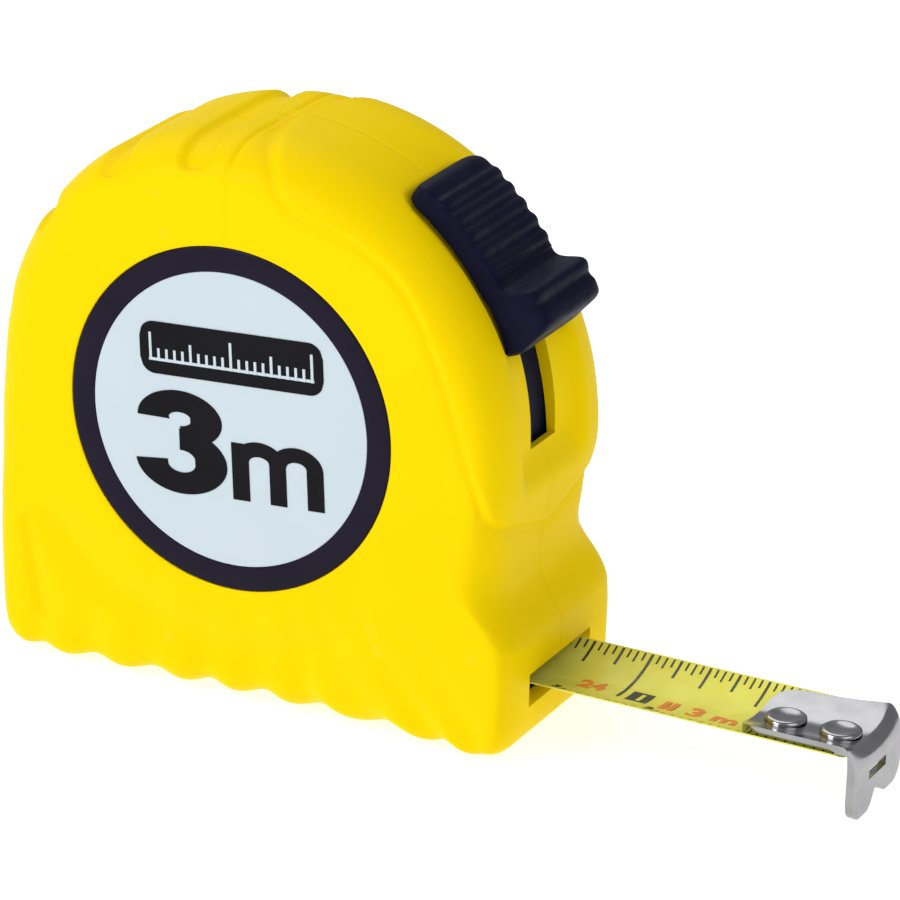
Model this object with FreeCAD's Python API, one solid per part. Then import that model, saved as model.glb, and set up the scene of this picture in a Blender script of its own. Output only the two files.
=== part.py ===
"""Pocket tape measure, 3 m blade of 12.7 mm class, built as its separate pieces.

Frame: millimetres. The origin is on the base plane, directly below the reel axis,
in the parting plane of the case. +X is forward, where the blade leaves the mouth,
+Z is up and Y runs across the case, with the label on the -Y side.
"""

import FreeCAD
import Part
import math
import os

# ---------------------------------------------------------------- driving sizes

# Case
CASE_WIDTH = 25.0        # across both halves
REEL_HEIGHT = 30.4       # reel axis above the base
CROWN_RADIUS = 27.5      # top and back of the case about the reel axis
BROW_REACH = 28.4        # front of the case at the brow
BROW_HEIGHT = 35.7       # height of that point
BELLY_REACH = 29.35      # furthest point of the front between brow and waist
BELLY_HEIGHT = 27.0
WAIST_REACH = 28.3       # narrowest point above the mouth block
WAIST_HEIGHT = 17.0
MOUTH_REACH = 30.9       # front face of the mouth block
MOUTH_BLOCK_HEIGHT = 12.0
HEEL_REACH = 26.5        # back of the case at the base
CORNER_RADIUS = 2.5      # lower corners of the outline
SHOULDER_RADIUS = 3.5    # round between side faces and rim
WALL = 1.8
FOREHEAD_ANGLE = 50.0    # where the forehead's arc is at its mean radius

# Grip features
GRIP_ANGLES = (102.0, 126.0, 149.0, 172.0)
GRIP_RADIUS = 4.0
GRIP_DEPTH = 0.6
FINGER_GROOVES = 6
FINGER_PITCH = 6.6
FINGER_FIRST = -9.7      # X of the rearmost groove; the origin lies on a land
FINGER_RADIUS = 4.5
FINGER_DEPTH = 0.5

# Label
LABEL_RADIUS = 17.73
LABEL_THICKNESS = 0.4
LABEL_RECESS = 0.5
LABEL_GAP = 0.07

# Blade
BLADE_WIDTH = 12.5       # chord over the curved section
BLADE_DISH = 1.5         # depth of the curved section
BLADE_THICKNESS = 0.15
BLADE_EDGE_HEIGHT = 7.24
BLADE_SHOWN_TO = 63.45   # blade end
BLADE_STRIP_FROM = 8.9   # where the straight stretch begins
COIL_RADIUS = 22.3
COIL_PITCH = 0.3
COIL_TURNS = 26

# Mouth
MOUTH_HALF_WIDTH = 8.3
MOUTH_ABOVE = 1.0        # slot above the blade edges
MOUTH_BELOW = 1.0        # slot below the blade's trough
GUIDE_FROM = 14.0
GUIDE_TOE_GAP = 0.2      # guide behind the round of the case's toe
GUIDE_HALF_WIDTH = 7.8
GUIDE_GAP = 0.3          # blade above its guide

# Drum, arbor and power spring
DRUM_WALL = 1.0
DRUM_GAP = 0.15          # coil over the drum, and spring inside it
DRUM_HALF_WIDTH = 6.9
DISC_THICKNESS = 1.0
ARBOR_RADIUS = 2.9
ARBOR_SEAT = 2.8         # length of each arbor end in its boss
RUNNING_GAP = 0.05       # radial, between drum and arbor
SEAT_GAP = 0.02          # around pieces that are pressed or screwed home
WASHER_RADIUS = 6.0
WASHER_THICKNESS = 0.4
SPRING_THICKNESS = 0.15
SPRING_PITCH = 0.5
SPRING_HALF_WIDTH = 5.7
SPRING_TAIL = 1.8
ARBOR_SLOT = 0.55
SPRING_SIDE_GAP = 0.1
ANCHOR_LENGTH = 1.6
ANCHOR_HALF_WIDTH = 4.0

# Case fasteners and posts
BOSS_RADIUS = 5.0
POST_RADIUS = 2.2
POST_BACK = (-21.6, 11.8)
POST_FRONT = (26.0, 12.5)
POST_TOP_RADIUS = 24.9   # third post, measured from the reel axis
POST_TOP_ANGLE = 114.0
SCREW_RADIUS = 0.95
SCREW_CLEARANCE = 0.25
SCREW_HEAD_RADIUS = 1.5
SCREW_HEAD_HEIGHT = 1.1
SCREW_HEAD_SUNK = 2.9    # below the side of the case
SCREW_TOP_SUNK = 6.4     # the third one, under the round shoulder
SCREW_LENGTH = 11.5       # under the head
SCREW_TIP_ROOM = 1.5
CROSS_DEPTH = 0.55       # driver recess in the screw heads
CROSS_SPAN = 0.6         # its half width and half thickness, as shares of the head radius
CROSS_WIDTH = 0.12
RING_RADIUS = 20.5       # rib rings that keep the coil straight
RING_WALL = 1.0
RING_GAP = 0.35

# Belt clip
CLIP_WIDTH = 13.0
CLIP_THICKNESS = 0.8
CLIP_BEND = 1.6          # inner radius of the hairpin
CLIP_FOOT = 24.0         # lower end of the leg on the case
CLIP_TOP = 46.0          # where the hairpin begins
CLIP_NIP_HEIGHT = 16.0   # where the outer leg comes nearest to the case
CLIP_NIP_GAP = 1.2
CLIP_TIP_HEIGHT = 11.0
CLIP_TIP_GAP = 3.4
CLIP_SCREW_RADIUS = 1.2
CLIP_HEAD_RADIUS = 2.5
CLIP_HEAD_HEIGHT = 1.1
CLIP_SCREW_DEPTH = 7.0
CLIP_ACCESS_RADIUS = 3.1

# Thumb lock, about the reel axis
LOCK_HALF_WIDTH = 6.0
LOCK_INNER = 28.15
LOCK_OUTER = 30.3
LOCK_FROM = 21.0
LOCK_TO = 56.0
LOCK_TRAVEL = 18.0
BED_ROOM = 1.0           # degrees of bed past the lock's ends
LOCK_GAP = 0.15
LEDGE_RADIUS = 34.2
LEDGE_FROM = 22.5
LEDGE_TO = 28.5
RIB_HEIGHT = 0.5
RIB_ANGLES = (34.0, 38.5, 43.0, 47.5, 52.0)
RIB_SPAN = 2.4
LEG_ROOT = 0.5           # how far the leg runs up into the saddle
SLOT_HALF_WIDTH = 2.7
SLOT_FROM = -1.0
SLOT_TO = 52.5
LEG_FROM = 19.5
LEG_TO = 50.0
ARM_INNER = 23.2
ARM_OUTER = 25.8
ARM_HALF_WIDTH = 4.5
ARM_FROM = -36.0
ARM_TO = 48.0
PAD_SPAN = 6.0
PAD_HALF_WIDTH = 5.0
PAD_OUTER = 29.0

# End hook and its rivets
HOOK_THICKNESS = 0.8
HOOK_PLATE_LENGTH = 12.0
HOOK_PLATE_WIDTH = 9.6
HOOK_FACE = 64.3         # inner face of the leg, with the hook pulled out
HOOK_LEG_WIDTH = 11.8
HOOK_SLIP = 0.8          # true-zero travel
HOOK_GAP = 0.05
NAIL_SLOT_WIDTH = 5.0
NAIL_SLOT_HEIGHT = 1.2
NAIL_SLOT_Z = 3.9
NOTCH_WIDTH = 2.4
NOTCH_HEIGHT = 1.5
RIVET_RADIUS = 1.0
RIVET_HEAD_RADIUS = 1.8
RIVET_HEAD_HEIGHT = 0.6
RIVET_TAIL_HEIGHT = 0.3
RIVET_BACK = 8.6         # rivet centres, behind the leg's inner face
RIVET_SPACING = 5.6

CUT_PAST = 1.0           # how far a cutting shape runs past the face it cuts

# ------------------------------------------------------------- worked-out sizes

CASE_HALF = CASE_WIDTH / 2
INNER_HALF = CASE_HALF - WALL
SCREW_SEAT = CASE_HALF - SCREW_HEAD_SUNK - SCREW_HEAD_HEIGHT
SCREW_TOP_SEAT = CASE_HALF - SCREW_TOP_SUNK - SCREW_HEAD_HEIGHT
BOSS_FACE = DRUM_HALF_WIDTH + WASHER_THICKNESS + 2 * RUNNING_GAP
ARBOR_HALF = BOSS_FACE + ARBOR_SEAT
BLADE_HALF = BLADE_WIDTH / 2
BLADE_CURVE = (BLADE_HALF ** 2 + BLADE_DISH ** 2) / (2 * BLADE_DISH)
BLADE_CURVE_Z = BLADE_EDGE_HEIGHT - BLADE_DISH + BLADE_CURVE
TROUGH_Z = BLADE_CURVE_Z - BLADE_CURVE
COIL_INNER = COIL_RADIUS - COIL_TURNS * COIL_PITCH - BLADE_THICKNESS
DRUM_OUTER = COIL_INNER - DRUM_GAP
DRUM_INNER = DRUM_OUTER - DRUM_WALL
SPRING_INNER = ARBOR_RADIUS + DRUM_GAP
SPRING_SPACE = DRUM_INNER - DRUM_GAP - SPRING_THICKNESS - SPRING_INNER
SPRING_TURNS = int(SPRING_SPACE / SPRING_PITCH)
LOCK_BED = LOCK_INNER - LOCK_GAP
GUIDE_TO = MOUTH_REACH - CORNER_RADIUS - GUIDE_TOE_GAP

V = FreeCAD.Vector
ACROSS = V(0, 1, 0)


# ------------------------------------------------------------------ shape tools

def about_reel(radius, degrees, y=0.0):
    """Point at a radius and angle about the reel axis, from +X towards +Z."""
    turn = math.radians(degrees)
    return V(radius * math.cos(turn), y, REEL_HEIGHT + radius * math.sin(turn))


def box(low, high):
    """Box between two corners."""
    return Part.makeBox(high[0] - low[0], high[1] - low[1], high[2] - low[2], V(*low))


def rod(radius, y_low, y_high, x=0.0, z=REEL_HEIGHT):
    """Round bar along Y."""
    return Part.makeCylinder(radius, y_high - y_low, V(x, y_low, z), ACROSS)


def tube(inner, outer, y_low, y_high, x=0.0, z=REEL_HEIGHT):
    """Round tube along Y."""
    return rod(outer, y_low, y_high, x, z).cut(rod(inner, y_low - CUT_PAST, y_high + CUT_PAST, x, z))


def arc(start, middle, end):
    """Edge of the arc through three points."""
    return Part.Arc(start, middle, end).toShape()


def sector(inner, outer, from_deg, to_deg, half_width):
    """Part of a ring about the reel axis, between two angles."""
    middle = (from_deg + to_deg) / 2
    edges = [
        arc(about_reel(inner, from_deg), about_reel(inner, middle), about_reel(inner, to_deg)),
        Part.makeLine(about_reel(inner, to_deg), about_reel(outer, to_deg)),
        arc(about_reel(outer, to_deg), about_reel(outer, middle), about_reel(outer, from_deg)),
        Part.makeLine(about_reel(outer, from_deg), about_reel(inner, from_deg)),
    ]
    return extrude_across(Part.Wire(edges), -half_width, half_width)


def extrude_across(wire, y_low, y_high):
    """Solid of a closed wire in the XZ plane, from y_low to y_high."""
    face = Part.Face(wire)
    face.translate(V(0, y_low, 0))
    return face.extrude(V(0, y_high - y_low, 0))


def spiral_strip(inner, pitch, turns, thickness, half_width):
    """Wound strip as semicircles on two centres, both ends straight below the axis.

    Each half turn's radius is half a pitch larger than the last, so the strip is
    smooth. It winds outwards from +X towards +Z, and its outer end points to +X.
    """
    shift = pitch / 4
    start = V(0, 0, -1)
    side = V(1, 0, 0)
    centre = V(0, 0, REEL_HEIGHT)
    inner_arcs, outer_arcs, ends = [], [], []
    for half_turn in range(2 * turns):
        sign = 1 if half_turn % 2 == 0 else -1
        hub = centre - start * (sign * shift)
        radius = inner + shift + 2 * shift * half_turn
        for arcs, reach in ((inner_arcs, radius), (outer_arcs, radius + thickness)):
            points = [hub + start * sign * reach, hub + side * sign * reach,
                      hub - start * sign * reach]
            arcs.append(arc(*points))
            ends.append((points[0], points[2]))
    closing = [Part.makeLine(ends[0][0], ends[1][0]), Part.makeLine(ends[-2][1], ends[-1][1])]
    wire = Part.Wire(Part.__sortEdges__(inner_arcs + outer_arcs + closing))
    return extrude_across(wire, -half_width, half_width)


def curved_section(x, inner_radius, outer_radius, half_width):
    """Closed wire of a dished strip's section at x, about the blade's curve axis."""
    def at(radius, y):
        return V(x, y, BLADE_CURVE_Z - math.sqrt(radius ** 2 - y ** 2))

    top = [at(inner_radius, y) for y in (-half_width, 0, half_width)]
    low = [at(outer_radius, y) for y in (half_width, 0, -half_width)]
    return Part.Wire([arc(*top), Part.makeLine(top[2], low[0]), arc(*low),
                      Part.makeLine(low[2], top[0])])


def dished_plate(x_low, x_high, inner_radius, outer_radius, half_width):
    """Dished plate along X, about the blade's curve axis."""
    section = curved_section(x_low, inner_radius, outer_radius, half_width)
    return Part.Face(section).extrude(V(x_high - x_low, 0, 0))


# ------------------------------------------------------------------------- case

def case_outline():
    """Side view of the case as one closed wire of lines and arcs."""
    crown = CROWN_RADIUS
    heel = V(-HEEL_REACH, 0, CORNER_RADIUS)
    heel_base = V(-HEEL_REACH + CORNER_RADIUS, 0, 0)
    toe_base = V(MOUTH_REACH - CORNER_RADIUS, 0, 0)
    toe = V(MOUTH_REACH, 0, CORNER_RADIUS)
    round_in = CORNER_RADIUS * (1 - math.cos(math.pi / 4))
    block_top = V(MOUTH_REACH, 0, MOUTH_BLOCK_HEIGHT)
    waist = V(WAIST_REACH, 0, WAIST_HEIGHT)
    belly = V(BELLY_REACH, 0, BELLY_HEIGHT)
    brow = V(BROW_REACH, 0, BROW_HEIGHT)
    brow_radius = math.hypot(BROW_REACH, BROW_HEIGHT - REEL_HEIGHT)
    forehead = about_reel((crown + brow_radius) / 2, FOREHEAD_ANGLE)
    edges = [
        Part.makeLine(heel_base, toe_base),
        arc(toe_base, V(MOUTH_REACH - round_in, 0, round_in), toe),
        Part.makeLine(toe, block_top),
        Part.makeLine(block_top, waist),
        arc(waist, belly, brow),
        arc(brow, forehead, about_reel(crown, 90)),
        arc(about_reel(crown, 90), about_reel(crown, 135), about_reel(crown, 180)),
        Part.makeLine(about_reel(crown, 180), heel),
        arc(heel, V(-HEEL_REACH + round_in, 0, round_in), heel_base),
    ]
    return Part.Wire(edges)


def case_body():
    """Solid case with rounded shoulders, before it is hollowed and split."""
    body = extrude_across(case_outline(), -CASE_HALF, CASE_HALF)
    rims = [edge for edge in body.Edges
            if all(abs(abs(v.Point.y) - CASE_HALF) < 1e-6 for v in edge.Vertexes)
            and edge.Vertexes[0].Point.y * edge.Vertexes[-1].Point.y > 0]
    return body.makeFillet(SHOULDER_RADIUS, rims)


def case_cavity():
    """Hollow inside the walls."""
    return extrude_across(case_outline().makeOffset2D(-WALL), -INNER_HALF, INNER_HALF)


def grip_cuts():
    """Grooves over the back rim for the palm and under the base for the fingers."""
    reach = CROWN_RADIUS + GRIP_RADIUS - GRIP_DEPTH
    cuts = []
    for angle in GRIP_ANGLES:
        at = about_reel(reach, angle)
        cuts.append(rod(GRIP_RADIUS, -CASE_HALF - CUT_PAST, CASE_HALF + CUT_PAST, at.x, at.z))
    for index in range(FINGER_GROOVES):
        x = FINGER_FIRST + FINGER_PITCH * index
        cuts.append(rod(FINGER_RADIUS, -CASE_HALF - CUT_PAST, CASE_HALF + CUT_PAST, x,
                        FINGER_DEPTH - FINGER_RADIUS))
    return cuts


def mouth_cut():
    """Slot in the front wall that the blade leaves by."""
    return box((MOUTH_REACH - 2 * WALL, -MOUTH_HALF_WIDTH, TROUGH_Z - MOUTH_BELOW),
               (MOUTH_REACH + CUT_PAST, MOUTH_HALF_WIDTH, BLADE_EDGE_HEIGHT + MOUTH_ABOVE))


def lock_cuts():
    """Bed that the thumb lock slides on, and the slot that its leg goes through."""
    bed = sector(LOCK_BED, LEDGE_RADIUS, LOCK_FROM - LOCK_TRAVEL - BED_ROOM,
                 LOCK_TO + BED_ROOM,
                 LOCK_HALF_WIDTH + LOCK_GAP)
    slot = sector(ARM_OUTER - CUT_PAST, LEDGE_RADIUS, SLOT_FROM, SLOT_TO, SLOT_HALF_WIDTH)
    return [bed, slot]


def post_places():
    """Centres of the three screw posts and the seats of their screws, as (x, z, y)."""
    top = about_reel(POST_TOP_RADIUS, POST_TOP_ANGLE)
    return [(*POST_BACK, SCREW_SEAT), (*POST_FRONT, SCREW_SEAT),
            (top.x, top.z, SCREW_TOP_SEAT)]


def case_half(shell, body, side):
    """One case half: side is -1 for the label side and +1 for the clip side."""
    def span(near, far):
        return (near, far) if side > 0 else (-far, -near)

    low, high = span(0, CASE_HALF + CUT_PAST)
    reach = BLADE_SHOWN_TO
    half = shell.common(box((-reach, low, -reach), (reach, high, 2 * reach)))
    posts = [rod(POST_RADIUS, *span(0, INNER_HALF), x, z) for x, z, _ in post_places()]
    boss = rod(BOSS_RADIUS, *span(BOSS_FACE, INNER_HALF))
    ring = tube(RING_RADIUS - RING_WALL, RING_RADIUS, *span(BLADE_HALF + RING_GAP, INNER_HALF))
    inside = posts + [boss, ring]
    half = half.fuse([piece.common(body) for piece in inside])
    holes = [rod(ARBOR_RADIUS + SEAT_GAP, *span(0, ARBOR_HALF))]
    for x, z, seat in post_places():
        if side > 0:
            holes.append(rod(SCREW_RADIUS + SCREW_CLEARANCE, -CUT_PAST, CASE_HALF, x, z))
            holes.append(rod(SCREW_HEAD_RADIUS + SCREW_CLEARANCE, seat,
                             CASE_HALF + CUT_PAST, x, z))
        else:
            bottom = seat - SCREW_LENGTH - SCREW_TIP_ROOM
            holes.append(rod(SCREW_RADIUS + SEAT_GAP, bottom, CUT_PAST, x, z))
    if side > 0:
        holes.append(rod(CLIP_SCREW_RADIUS + SCREW_CLEARANCE, 0, CASE_HALF + CUT_PAST))
    else:
        holes.append(rod(LABEL_RADIUS + LABEL_GAP, -CASE_HALF - CUT_PAST, LABEL_RECESS - CASE_HALF))
    return half.cut(holes).removeSplitter()


def front_label():
    """Printed disc in the round recess of the label side."""
    back = LABEL_RECESS - CASE_HALF
    return rod(LABEL_RADIUS, back - LABEL_THICKNESS, back)


def case_screws():
    """Three pan-head screws from the clip side, as separate solids."""
    screws = []
    for x, z, seat in post_places():
        top = seat + SCREW_HEAD_HEIGHT
        shank = rod(SCREW_RADIUS, seat - SCREW_LENGTH, seat, x, z)
        head = rod(SCREW_HEAD_RADIUS, seat, top, x, z)
        cross = cross_recess(top, SCREW_HEAD_RADIUS, x, z)
        screws.append(shank.fuse(head).removeSplitter().cut(cross))
    return Part.Compound(screws)


def cross_recess(top, head_radius, x=0.0, z=REEL_HEIGHT):
    """Driver recess of a screw head whose face is at y = top."""
    wide, thin = CROSS_SPAN * head_radius, CROSS_WIDTH * head_radius
    return [box((x - a, top - CROSS_DEPTH, z - b), (x + a, top + CUT_PAST, z + b))
            for a, b in ((wide, thin), (thin, wide))]


def blade_guide():
    """Block on the case floor that carries the blade up to the mouth.

    Its dished top has a channel along the middle for the tails of the hook's rivets.
    """
    outer = BLADE_CURVE + BLADE_THICKNESS + GUIDE_GAP
    block = box((GUIDE_FROM, -GUIDE_HALF_WIDTH, WALL),
                (GUIDE_TO, GUIDE_HALF_WIDTH, BLADE_EDGE_HEIGHT - BLADE_DISH / 2))
    room = Part.makeCylinder(outer, GUIDE_TO, V(0, 0, BLADE_CURVE_Z), V(1, 0, 0))
    channel = RIVET_HEAD_RADIUS + GUIDE_GAP
    channel_floor = TROUGH_Z - BLADE_THICKNESS - RIVET_TAIL_HEIGHT - GUIDE_GAP
    rivet_way = box((0, -channel, channel_floor), (MOUTH_REACH, channel, BLADE_CURVE_Z))
    return block.cut([room, rivet_way])


def arbor_post():
    """Fixed steel post with a slot for the spring's inner end and a screw hole."""
    post = rod(ARBOR_RADIUS, -ARBOR_HALF, ARBOR_HALF)
    slot = box((-ARBOR_SLOT / 2, -SPRING_HALF_WIDTH - SPRING_SIDE_GAP,
                 REEL_HEIGHT - ARBOR_RADIUS - CUT_PAST),
               (ARBOR_SLOT / 2, SPRING_HALF_WIDTH + SPRING_SIDE_GAP,
                REEL_HEIGHT - ARBOR_RADIUS + SPRING_TAIL))
    hole = rod(CLIP_SCREW_RADIUS + SEAT_GAP, ARBOR_HALF - CLIP_SCREW_DEPTH, ARBOR_HALF + CUT_PAST)
    return post.cut([slot, hole])


def drum_washers():
    """Two thin washers between the drum and the case bosses."""
    low = DRUM_HALF_WIDTH + RUNNING_GAP
    high = low + WASHER_THICKNESS
    inner = ARBOR_RADIUS + RUNNING_GAP
    return Part.Compound([tube(inner, WASHER_RADIUS, low, high),
                          tube(inner, WASHER_RADIUS, -high, -low)])


# ------------------------------------------------------------------- belt clip

def belt_clip():
    """Hairpin clip of spring steel: a leg on the case, a bend and a free outer leg."""
    t = CLIP_THICKNESS
    face = CASE_HALF
    middle = face + t + CLIP_BEND
    far = middle + CLIP_BEND
    nip = face + CLIP_NIP_GAP
    tip = face + CLIP_TIP_GAP

    def at(y, z):
        return V(-CLIP_WIDTH / 2, y, z)

    edges = [
        Part.makeLine(at(face, CLIP_FOOT), at(face, CLIP_TOP)),
        arc(at(face, CLIP_TOP), at(middle, CLIP_TOP + CLIP_BEND + t), at(far + t, CLIP_TOP)),
        Part.makeLine(at(far + t, CLIP_TOP), at(nip + t, CLIP_NIP_HEIGHT)),
        Part.makeLine(at(nip + t, CLIP_NIP_HEIGHT), at(tip + t, CLIP_TIP_HEIGHT)),
        Part.makeLine(at(tip + t, CLIP_TIP_HEIGHT), at(tip, CLIP_TIP_HEIGHT)),
        Part.makeLine(at(tip, CLIP_TIP_HEIGHT), at(nip, CLIP_NIP_HEIGHT)),
        Part.makeLine(at(nip, CLIP_NIP_HEIGHT), at(far, CLIP_TOP)),
        arc(at(far, CLIP_TOP), at(middle, CLIP_TOP + CLIP_BEND), at(face + t, CLIP_TOP)),
        Part.makeLine(at(face + t, CLIP_TOP), at(face + t, CLIP_FOOT)),
        Part.makeLine(at(face + t, CLIP_FOOT), at(face, CLIP_FOOT)),
    ]
    strip = Part.Face(Part.Wire(edges)).extrude(V(CLIP_WIDTH, 0, 0))
    hole = rod(CLIP_SCREW_RADIUS + SCREW_CLEARANCE, face - CUT_PAST, middle)
    access = rod(CLIP_ACCESS_RADIUS, middle - CLIP_BEND / 2, far + 2 * t)
    return strip.cut([hole, access])


def clip_screw():
    """Pan-head screw through the clip and the case into the arbor post."""
    seat = CASE_HALF + CLIP_THICKNESS
    shank = rod(CLIP_SCREW_RADIUS, ARBOR_HALF - CLIP_SCREW_DEPTH + SCREW_TIP_ROOM, seat)
    head = rod(CLIP_HEAD_RADIUS, seat, seat + CLIP_HEAD_HEIGHT)
    cross = cross_recess(seat + CLIP_HEAD_HEIGHT, CLIP_HEAD_RADIUS)
    return shank.fuse(head).removeSplitter().cut(cross)


# ------------------------------------------------------------------------- reel

def anchor_box(gap):
    """Space of the blade anchor in the drum wall, larger by gap all round."""
    return box((-ANCHOR_LENGTH - gap, -ANCHOR_HALF_WIDTH - gap, REEL_HEIGHT - DRUM_OUTER - DRUM_GAP),
               (gap, ANCHOR_HALF_WIDTH + gap, REEL_HEIGHT - DRUM_INNER))


def reel_drum():
    """Drum with one closed side, which turns on the arbor."""
    wall = tube(DRUM_INNER, DRUM_OUTER, -DRUM_HALF_WIDTH, DRUM_HALF_WIDTH)
    side = tube(ARBOR_RADIUS + RUNNING_GAP, DRUM_INNER + DRUM_WALL / 2,
                -DRUM_HALF_WIDTH, DISC_THICKNESS - DRUM_HALF_WIDTH)
    notch = anchor_box(SEAT_GAP).fuse(anchor_box(SEAT_GAP).translated(V(0, 0, DRUM_GAP)))
    return wall.fuse(side).removeSplitter().cut(notch)


def drum_cover():
    """Disc that closes the drum over the power spring."""
    return tube(ARBOR_RADIUS + RUNNING_GAP, DRUM_INNER - SEAT_GAP,
                DRUM_HALF_WIDTH - DISC_THICKNESS, DRUM_HALF_WIDTH)


def power_spring():
    """Wound spring strip, with its inner tail in the arbor's slot."""
    strip = spiral_strip(SPRING_INNER, SPRING_PITCH, SPRING_TURNS, SPRING_THICKNESS,
                         SPRING_HALF_WIDTH)
    top = REEL_HEIGHT - ARBOR_RADIUS + SPRING_TAIL - DRUM_GAP
    tail = box((0, -SPRING_HALF_WIDTH, REEL_HEIGHT - SPRING_INNER - SPRING_THICKNESS),
               (SPRING_THICKNESS, SPRING_HALF_WIDTH, top))
    return strip.fuse(tail)


def blade_coil():
    """Wound part of the blade, turn on turn around the drum."""
    return spiral_strip(COIL_INNER, COIL_PITCH, COIL_TURNS, BLADE_THICKNESS, BLADE_HALF)


def blade_anchor():
    """Small steel block that joins the blade's inner end to the drum and spring."""
    return anchor_box(0)


# ------------------------------------------------------------------------ blade

def blade_strip():
    """Straight dished stretch of blade, with holes for the hook's rivets."""
    strip = dished_plate(BLADE_STRIP_FROM, BLADE_SHOWN_TO, BLADE_CURVE,
                         BLADE_CURVE + BLADE_THICKNESS, BLADE_HALF)
    return strip.cut([rivet_shaft(x, RIVET_RADIUS) for x in rivet_places()])


def blade_lead():
    """Short stretch where the flat blade leaves the coil and takes its dish."""
    coil_low = REEL_HEIGHT - COIL_RADIUS - RUNNING_GAP
    start = DRUM_GAP
    flat = Part.makePolygon([V(start, -BLADE_HALF, coil_low), V(start, BLADE_HALF, coil_low),
                             V(start, BLADE_HALF, coil_low - BLADE_THICKNESS),
                             V(start, -BLADE_HALF, coil_low - BLADE_THICKNESS),
                             V(start, -BLADE_HALF, coil_low)])
    dished = curved_section(BLADE_STRIP_FROM - RUNNING_GAP, BLADE_CURVE,
                            BLADE_CURVE + BLADE_THICKNESS, BLADE_HALF)
    return Part.makeLoft([flat, dished], True, True)


def rivet_places():
    """X of the two rivets, back to front."""
    back = HOOK_FACE - RIVET_BACK
    return [back, back + RIVET_SPACING]


def rivet_shaft(x, radius):
    """Upright bar through blade and hook at x."""
    return Part.makeCylinder(radius, HOOK_THICKNESS + 2 * CUT_PAST, V(x, 0, TROUGH_Z - CUT_PAST))


def hook_rivets():
    """Two rivets fixed in the blade, with room under their heads for the hook."""
    sag = RIVET_HEAD_RADIUS ** 2 / (2 * BLADE_CURVE)
    head_low = TROUGH_Z + 2 * HOOK_GAP + HOOK_THICKNESS + sag
    tail_top = TROUGH_Z - BLADE_THICKNESS
    rivets = []
    for x in rivet_places():
        shank = Part.makeCylinder(RIVET_RADIUS, head_low - tail_top, V(x, 0, tail_top))
        head = Part.makeCylinder(RIVET_HEAD_RADIUS, RIVET_HEAD_HEIGHT, V(x, 0, head_low))
        top = head_low + RIVET_HEAD_HEIGHT
        crown = [edge for edge in head.Edges if abs(edge.BoundBox.ZMin - top) < 1e-6]
        head = head.makeFillet(RIVET_HEAD_HEIGHT / 2, crown)
        tail = Part.makeCylinder(RIVET_HEAD_RADIUS, RIVET_TAIL_HEIGHT,
                                 V(x, 0, tail_top - RIVET_TAIL_HEIGHT))
        rivets.append(shank.fuse([head, tail]).removeSplitter())
    return Part.Compound(rivets)


def end_hook():
    """Bent hook: a dished plate that slides on the rivets, and a leg with a nail slot."""
    outer = BLADE_CURVE - HOOK_GAP
    inner = outer - HOOK_THICKNESS
    front = HOOK_FACE + HOOK_THICKNESS
    plate = dished_plate(HOOK_FACE - HOOK_PLATE_LENGTH, front, inner, outer, HOOK_PLATE_WIDTH / 2)
    leg = box((HOOK_FACE, -HOOK_LEG_WIDTH / 2, 0),
              (front, HOOK_LEG_WIDTH / 2, TROUGH_Z - HOOK_THICKNESS / 2))
    neck = box((HOOK_FACE, -HOOK_PLATE_WIDTH / 2, 0),
               (front, HOOK_PLATE_WIDTH / 2, TROUGH_Z + HOOK_THICKNESS + BLADE_DISH))
    above = Part.makeCylinder(inner, 3 * HOOK_THICKNESS,
                              V(HOOK_FACE - HOOK_THICKNESS, 0, BLADE_CURVE_Z), V(1, 0, 0))
    nail = box((HOOK_FACE - CUT_PAST, -NAIL_SLOT_WIDTH / 2, NAIL_SLOT_Z - NAIL_SLOT_HEIGHT / 2),
               (front + CUT_PAST, NAIL_SLOT_WIDTH / 2, NAIL_SLOT_Z + NAIL_SLOT_HEIGHT / 2))
    notch = box((HOOK_FACE - CUT_PAST, -NOTCH_WIDTH / 2, -CUT_PAST),
                (front + CUT_PAST, NOTCH_WIDTH / 2, NOTCH_HEIGHT))
    hook = plate.fuse(leg.fuse(neck).cut([above, nail, notch]))
    slots = []
    for x in rivet_places():
        wide = RIVET_RADIUS + RUNNING_GAP
        near = rivet_shaft(x, wide)
        far = rivet_shaft(x + HOOK_SLIP, wide)
        between = box((x, -wide, TROUGH_Z - CUT_PAST),
                      (x + HOOK_SLIP, wide, TROUGH_Z + HOOK_THICKNESS + CUT_PAST))
        slots.append(near.fuse([far, between]))
    return hook.cut(slots).removeSplitter()


# ------------------------------------------------------------------------- lock

def thumb_lock():
    """Saddle with cross ribs and a thumb ledge, and the leg that goes into the case."""
    saddle = sector(LOCK_INNER, LOCK_OUTER, LOCK_FROM, LOCK_TO, LOCK_HALF_WIDTH)
    ledge = sector(LOCK_OUTER - LEG_ROOT, LEDGE_RADIUS, LEDGE_FROM, LEDGE_TO, LOCK_HALF_WIDTH)
    ribs = [sector(LOCK_OUTER - LEG_ROOT, LOCK_OUTER + RIB_HEIGHT, angle - RIB_SPAN / 2,
                   angle + RIB_SPAN / 2, LOCK_HALF_WIDTH) for angle in RIB_ANGLES]
    leg = sector(ARM_OUTER, LOCK_INNER + LEG_ROOT, LEG_FROM, LEG_TO, SLOT_HALF_WIDTH - LOCK_GAP)
    return saddle.fuse([ledge, leg] + ribs).removeSplitter()


def lock_arm():
    """Curved arm inside the case, between the coil and the front wall."""
    return sector(ARM_INNER, ARM_OUTER, ARM_FROM, ARM_TO, ARM_HALF_WIDTH)


def brake_pad():
    """Rubber pad on the arm's lower end, which comes down on the blade."""
    return sector(ARM_OUTER, PAD_OUTER, ARM_FROM, ARM_FROM + PAD_SPAN, PAD_HALF_WIDTH)


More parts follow.
